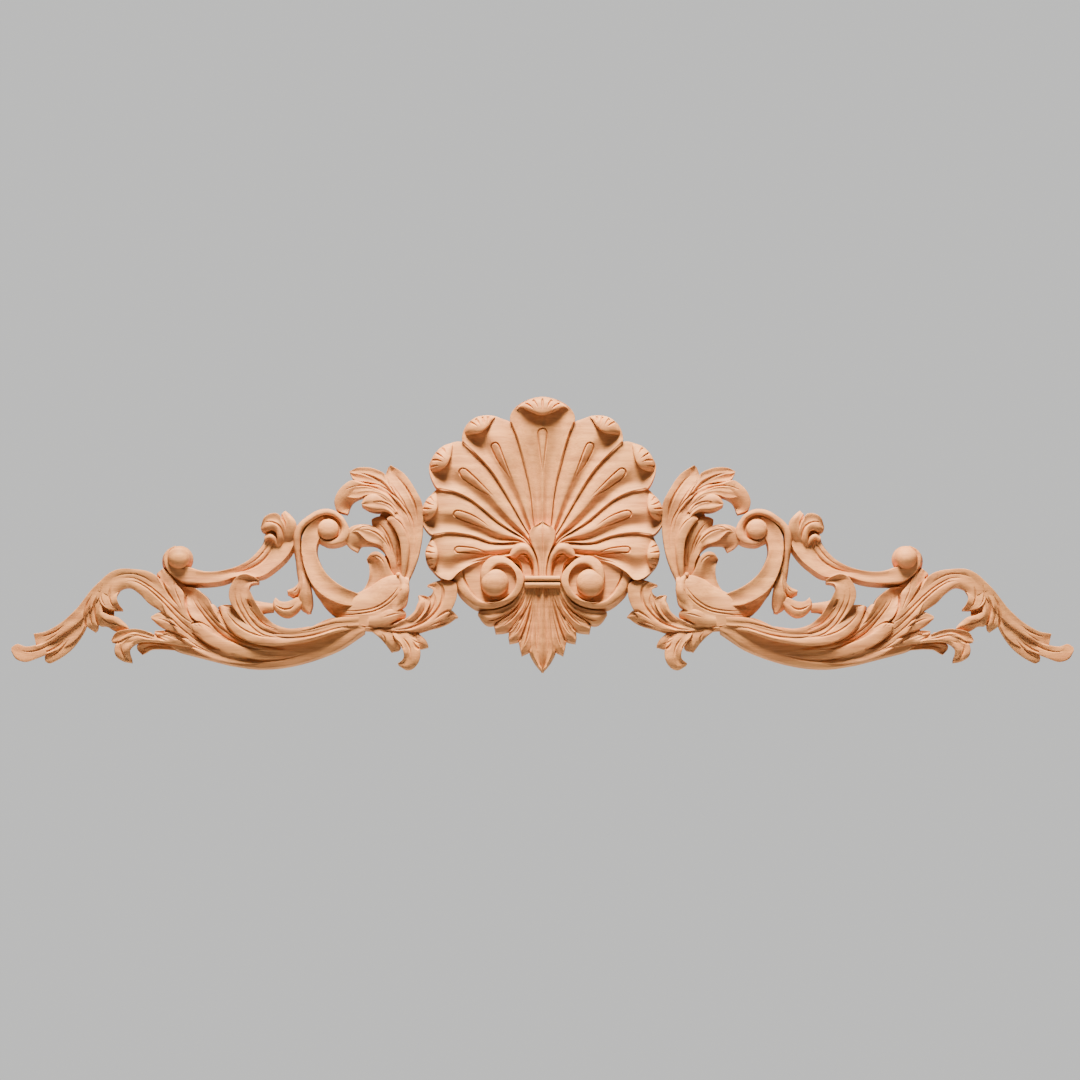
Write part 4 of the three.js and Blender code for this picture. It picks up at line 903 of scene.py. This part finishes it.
def groove(surface, name, path, width, depth, fade=(0, 1, 1, 0)):
    """A cutter that follows the carved surface along a drawn path and dies out at its ends."""
    edge = Edge(path)
    steps = max(4, round(edge.length / CUT_SPACE))
    samples = []
    for i in range(steps + 1):
        share = i / steps
        point, heading = edge.at(share), edge.heading(share)
        strength = max(along(fade, share), LEAST_STRENGTH)
        span = width * CUT_BREADTH * (END_BREADTH + (1 - END_BREADTH) * strength)
        half = Vector((-heading.y, heading.x)) * span / 2
        samples.append((point - half, point, point + half, depth * CUT_DEPTH * strength))
    lefts, middles, rights = ([height_at(surface, sample[k]) for sample in samples] for k in range(3))
    if all(height is None for height in middles):
        return None
    for i, height in enumerate(middles):
        if height is None:
            nearest = min(range(len(middles)), key=lambda j: (middles[j] is None, abs(i - j)))
            middles[i] = middles[nearest]
    rings = []
    reach = min(2, steps // 5)
    for i, (left, point, right, sink) in enumerate(samples):
        around = slice(max(i - reach, 0), i + reach + 1)
        middle = sum(middles[around]) / len(middles[around])
        sides = []
        for heights in (lefts, rights):
            found = [height for height in heights[around] if height is not None]
            side_height = sum(found) / len(found) if found else middle
            sides.append(min(max(side_height, middle - STEEPEST), middle + STEEPEST))
        out = (right - left).normalized() * TOOL_FLARE
        rings.append([
            lift(left - out, sides[0] + TOOL_CLEAR),
            lift(left, sides[0]),
            lift(point, middle - sink),
            lift(right, sides[1]),
            lift(right + out, sides[1] + TOOL_CLEAR),
        ])
    return mesh_piece(name, rings)


def grooves(surface, cuts):
    tools = [groove(surface, f"cut_{index}", *cut) for index, cut in enumerate(cuts)]
    return [tool for tool in tools if tool]


def only(piece):
    bpy.ops.object.select_all(action="DESELECT")
    piece.select_set(True)
    bpy.context.view_layer.objects.active = piece


def joined(name, operation, target, others):
    """target with others added to it or cut from it, which are used up."""
    tools = bpy.data.collections.new(name)
    for other in others:
        tools.objects.link(other)
    only(target)
    modifier = target.modifiers.new(name, "BOOLEAN")
    modifier.operation = operation
    modifier.operand_type = "COLLECTION"
    modifier.collection = tools
    modifier.solver = "MANIFOLD"
    bpy.ops.object.modifier_apply(modifier=name)
    for other in others:
        bpy.data.objects.remove(other)
    bpy.data.collections.remove(tools)
    return target


def mirrored(piece):
    """A copy of a piece on the other side of the middle line."""
    mesh = piece.data.copy()
    for vertex in mesh.vertices:
        vertex.co.x = -vertex.co.x
    mesh.flip_normals()
    copy = bpy.data.objects.new(piece.name + "_mirrored", mesh)
    bpy.context.scene.collection.objects.link(copy)
    return copy


def carve():
    half = [
        *flower_side(), *palmette_side(), *volute(), *tall_leaf(), *lower_leaves(),
        *c_scroll(), *long_scroll(), *wing_leaf(), *wing_end(), *shell_side(),
    ]
    side = joined("join_side", "UNION", half[0], half[1:])
    centre = [*shell_middle(), *flower_middle(), *palmette_middle()]
    whole = joined("join_middle", "UNION", centre[0], [*centre[1:], side, mirrored(side)])
    surface = BVHTree.FromObject(whole, bpy.context.evaluated_depsgraph_get())
    middle_cuts = [*shell_middle_cuts(), *FLOWER_MIDDLE_CUTS, *palmette_middle_cuts()]
    side_cuts = [
        *shell_side_cuts(), *VOLUTE_CUTS, *FLOWER_SIDE_CUTS, *PALMETTE_SIDE_CUTS, *TALL_LEAF_CUTS,
        *LOWER_LEAF_CUTS, *C_SCROLL_CUTS, *LONG_SCROLL_CUTS, *WING_LEAF_CUTS, *WING_END_CUTS,
    ]
    tools = grooves(surface, side_cuts)
    tools.extend([mirrored(tool) for tool in tools])
    joined("cut_in", "DIFFERENCE", whole, [*grooves(surface, middle_cuts), *tools])
    only(whole)
    bpy.ops.object.mode_set(mode="EDIT")
    bpy.ops.mesh.select_all(action="SELECT")
    bpy.ops.mesh.dissolve_limited(angle_limit=math.radians(FLAT_ENOUGH))
    bpy.ops.object.mode_set(mode="OBJECT")
    whole.name = "carving"
    whole.data.name = "carving"
    return whole


def wood():
    """Bare sanded wood: grain along the length, slow changes of tone and fine pores."""
    material = bpy.data.materials.new("bare_wood")
    material.use_nodes = True
    nodes, links = material.node_tree.nodes, material.node_tree.links
    shader = nodes["Principled BSDF"]
    place = nodes.new("ShaderNodeTexCoord")

    def noise(stretch, scale, detail):
        space = nodes.new("ShaderNodeMapping")
        space.inputs["Scale"].default_value = stretch
        links.new(place.outputs["Object"], space.inputs["Vector"])
        texture = nodes.new("ShaderNodeTexNoise")
        texture.inputs["Scale"].default_value = scale
        texture.inputs["Detail"].default_value = detail
        links.new(space.outputs["Vector"], texture.inputs["Vector"])
        return texture.outputs["Fac"]

    def ramp(source, low, low_colour, high, high_colour):
        tones = nodes.new("ShaderNodeValToRGB")
        tones.color_ramp.elements[0].position = low
        tones.color_ramp.elements[0].color = (*low_colour, 1)
        tones.color_ramp.elements[1].position = high
        tones.color_ramp.elements[1].color = (*high_colour, 1)
        links.new(source, tones.inputs["Fac"])
        return tones.outputs["Color"]

    def bump(height, strength, distance, normal=None):
        relief = nodes.new("ShaderNodeBump")
        relief.inputs["Strength"].default_value = strength
        relief.inputs["Distance"].default_value = distance
        links.new(height, relief.inputs["Height"])
        if normal:
            links.new(normal, relief.inputs["Normal"])
        return relief.outputs["Normal"]

    grain = noise((5, 60, 60), 2.2, 6)
    pores = noise((40, 900, 900), 1, 3)
    clouds = noise((1, 1, 1), 14, 3)
    colour = ramp(grain, 0.3, (0.49, 0.2, 0.085), 0.66, (0.77, 0.342, 0.14))
    slow_tones = ramp(clouds, 0.35, (0.84, 0.88, 0.84), 0.65, (1, 1, 1))
    fine_tones = ramp(pores, 0.3, (0.82, 0.76, 0.7), 0.55, (1, 1, 1))
    for layer in (slow_tones, fine_tones):
        mix = nodes.new("ShaderNodeMix")
        mix.data_type = "RGBA"
        mix.blend_type = "MULTIPLY"
        mix.inputs["Factor"].default_value = 1
        links.new(colour, mix.inputs[6])
        links.new(layer, mix.inputs[7])
        colour = mix.outputs[2]
    links.new(colour, shader.inputs["Base Color"])
    shader.inputs["Roughness"].default_value = 0.62
    shader.inputs["Specular IOR Level"].default_value = 0.25
    links.new(bump(pores, 0.15, 0.0002, bump(grain, 0.2, 0.0004)), shader.inputs["Normal"])
    return material


FLOOR_SIZE = 14
FLOOR_HEIGHT = -1.35


def floor():
    bpy.ops.mesh.primitive_plane_add(size=FLOOR_SIZE, location=(0, 0, FLOOR_HEIGHT))
    ground = bpy.context.object
    ground.name = "floor"
    material = bpy.data.materials.new("pale_floor")
    material.use_nodes = True
    shader = material.node_tree.nodes["Principled BSDF"]
    shader.inputs["Base Color"].default_value = (0.75, 0.75, 0.74, 1)
    shader.inputs["Roughness"].default_value = 0.8
    ground.data.materials.append(material)


def light(name, place, size, power, spread, colour):
    """A square lamp at a place, turned to the middle of the carving's back."""
    lamp = bpy.data.lights.new(name, "AREA")
    lamp.size = size
    lamp.energy = power
    lamp.spread = math.radians(spread)
    lamp.color = colour
    holder = bpy.data.objects.new(name, lamp)
    bpy.context.scene.collection.objects.link(holder)
    holder.location = place
    holder.rotation_euler = (-Vector(place)).to_track_quat("-Z", "Y").to_euler()


def lights():
    """A soft lamp high in front, and a pale backdrop brighter than the room before it."""
    light("key", (-0.15, -1.25, 2.7), 1.1, 100, 70, (1, 0.87, 0.67))
    light("fill", (0.8, -3.4, 0.4), 2.0, 1.4, 90, (0.85, 0.93, 1))
    world = bpy.data.worlds.new("studio")
    bpy.context.scene.world = world
    world.use_nodes = True
    nodes, links = world.node_tree.nodes, world.node_tree.links
    direction = nodes.new("ShaderNodeTexCoord")
    axes = nodes.new("ShaderNodeSeparateXYZ")
    links.new(direction.outputs["Generated"], axes.inputs["Vector"])
    share = nodes.new("ShaderNodeMapRange")
    share.interpolation_type = "SMOOTHSTEP"
    share.inputs["From Min"].default_value = -0.1
    share.inputs["From Max"].default_value = 0.75
    share.inputs["To Min"].default_value = 0.045
    share.inputs["To Max"].default_value = 0.85
    links.new(axes.outputs["Y"], share.inputs["Value"])
    links.new(share.outputs["Result"], nodes["Background"].inputs["Strength"])
    nodes["Background"].inputs["Color"].default_value = (0.88, 0.88, 0.87, 1)


# The photograph's frame and the ornament's middle in it, in pixels, the camera's distance in metres
# and its sensor's width in millimetres
FRAME_PIXELS = 1080
MIDDLE_PIXEL = (542.5, 533)
CAMERA_DISTANCE = 9.0
SENSOR = 36


def camera():
    data = bpy.data.cameras.new("camera")
    holder = bpy.data.objects.new("camera", data)
    bpy.context.scene.collection.objects.link(holder)
    half = FRAME_PIXELS / 2
    unit = UNIT * MM
    aim_x = (half - MIDDLE_PIXEL[0]) * unit
    aim_z = (MIDDLE_PIXEL[1] - half) * unit / math.cos(math.atan(RISE))
    aim = Vector((aim_x, 0, aim_z))
    below = math.radians(VIEW_BELOW)
    toward = Vector((0, math.cos(below), math.sin(below)))
    holder.location = aim - toward * CAMERA_DISTANCE
    holder.rotation_euler = toward.to_track_quat("-Z", "Y").to_euler()
    data.sensor_width = SENSOR
    data.lens = SENSOR * CAMERA_DISTANCE / (FRAME_PIXELS * unit)
    data.clip_end = 100
    bpy.context.scene.camera = holder


camera()
floor()
lights()
carving = carve()
only(carving)
bpy.ops.object.shade_smooth_by_angle(angle=math.radians(SMOOTH_BELOW))
carving.data.materials.clear()
carving.data.materials.append(wood())
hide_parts("shell_and_scroll_carving")
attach(carving, "root")
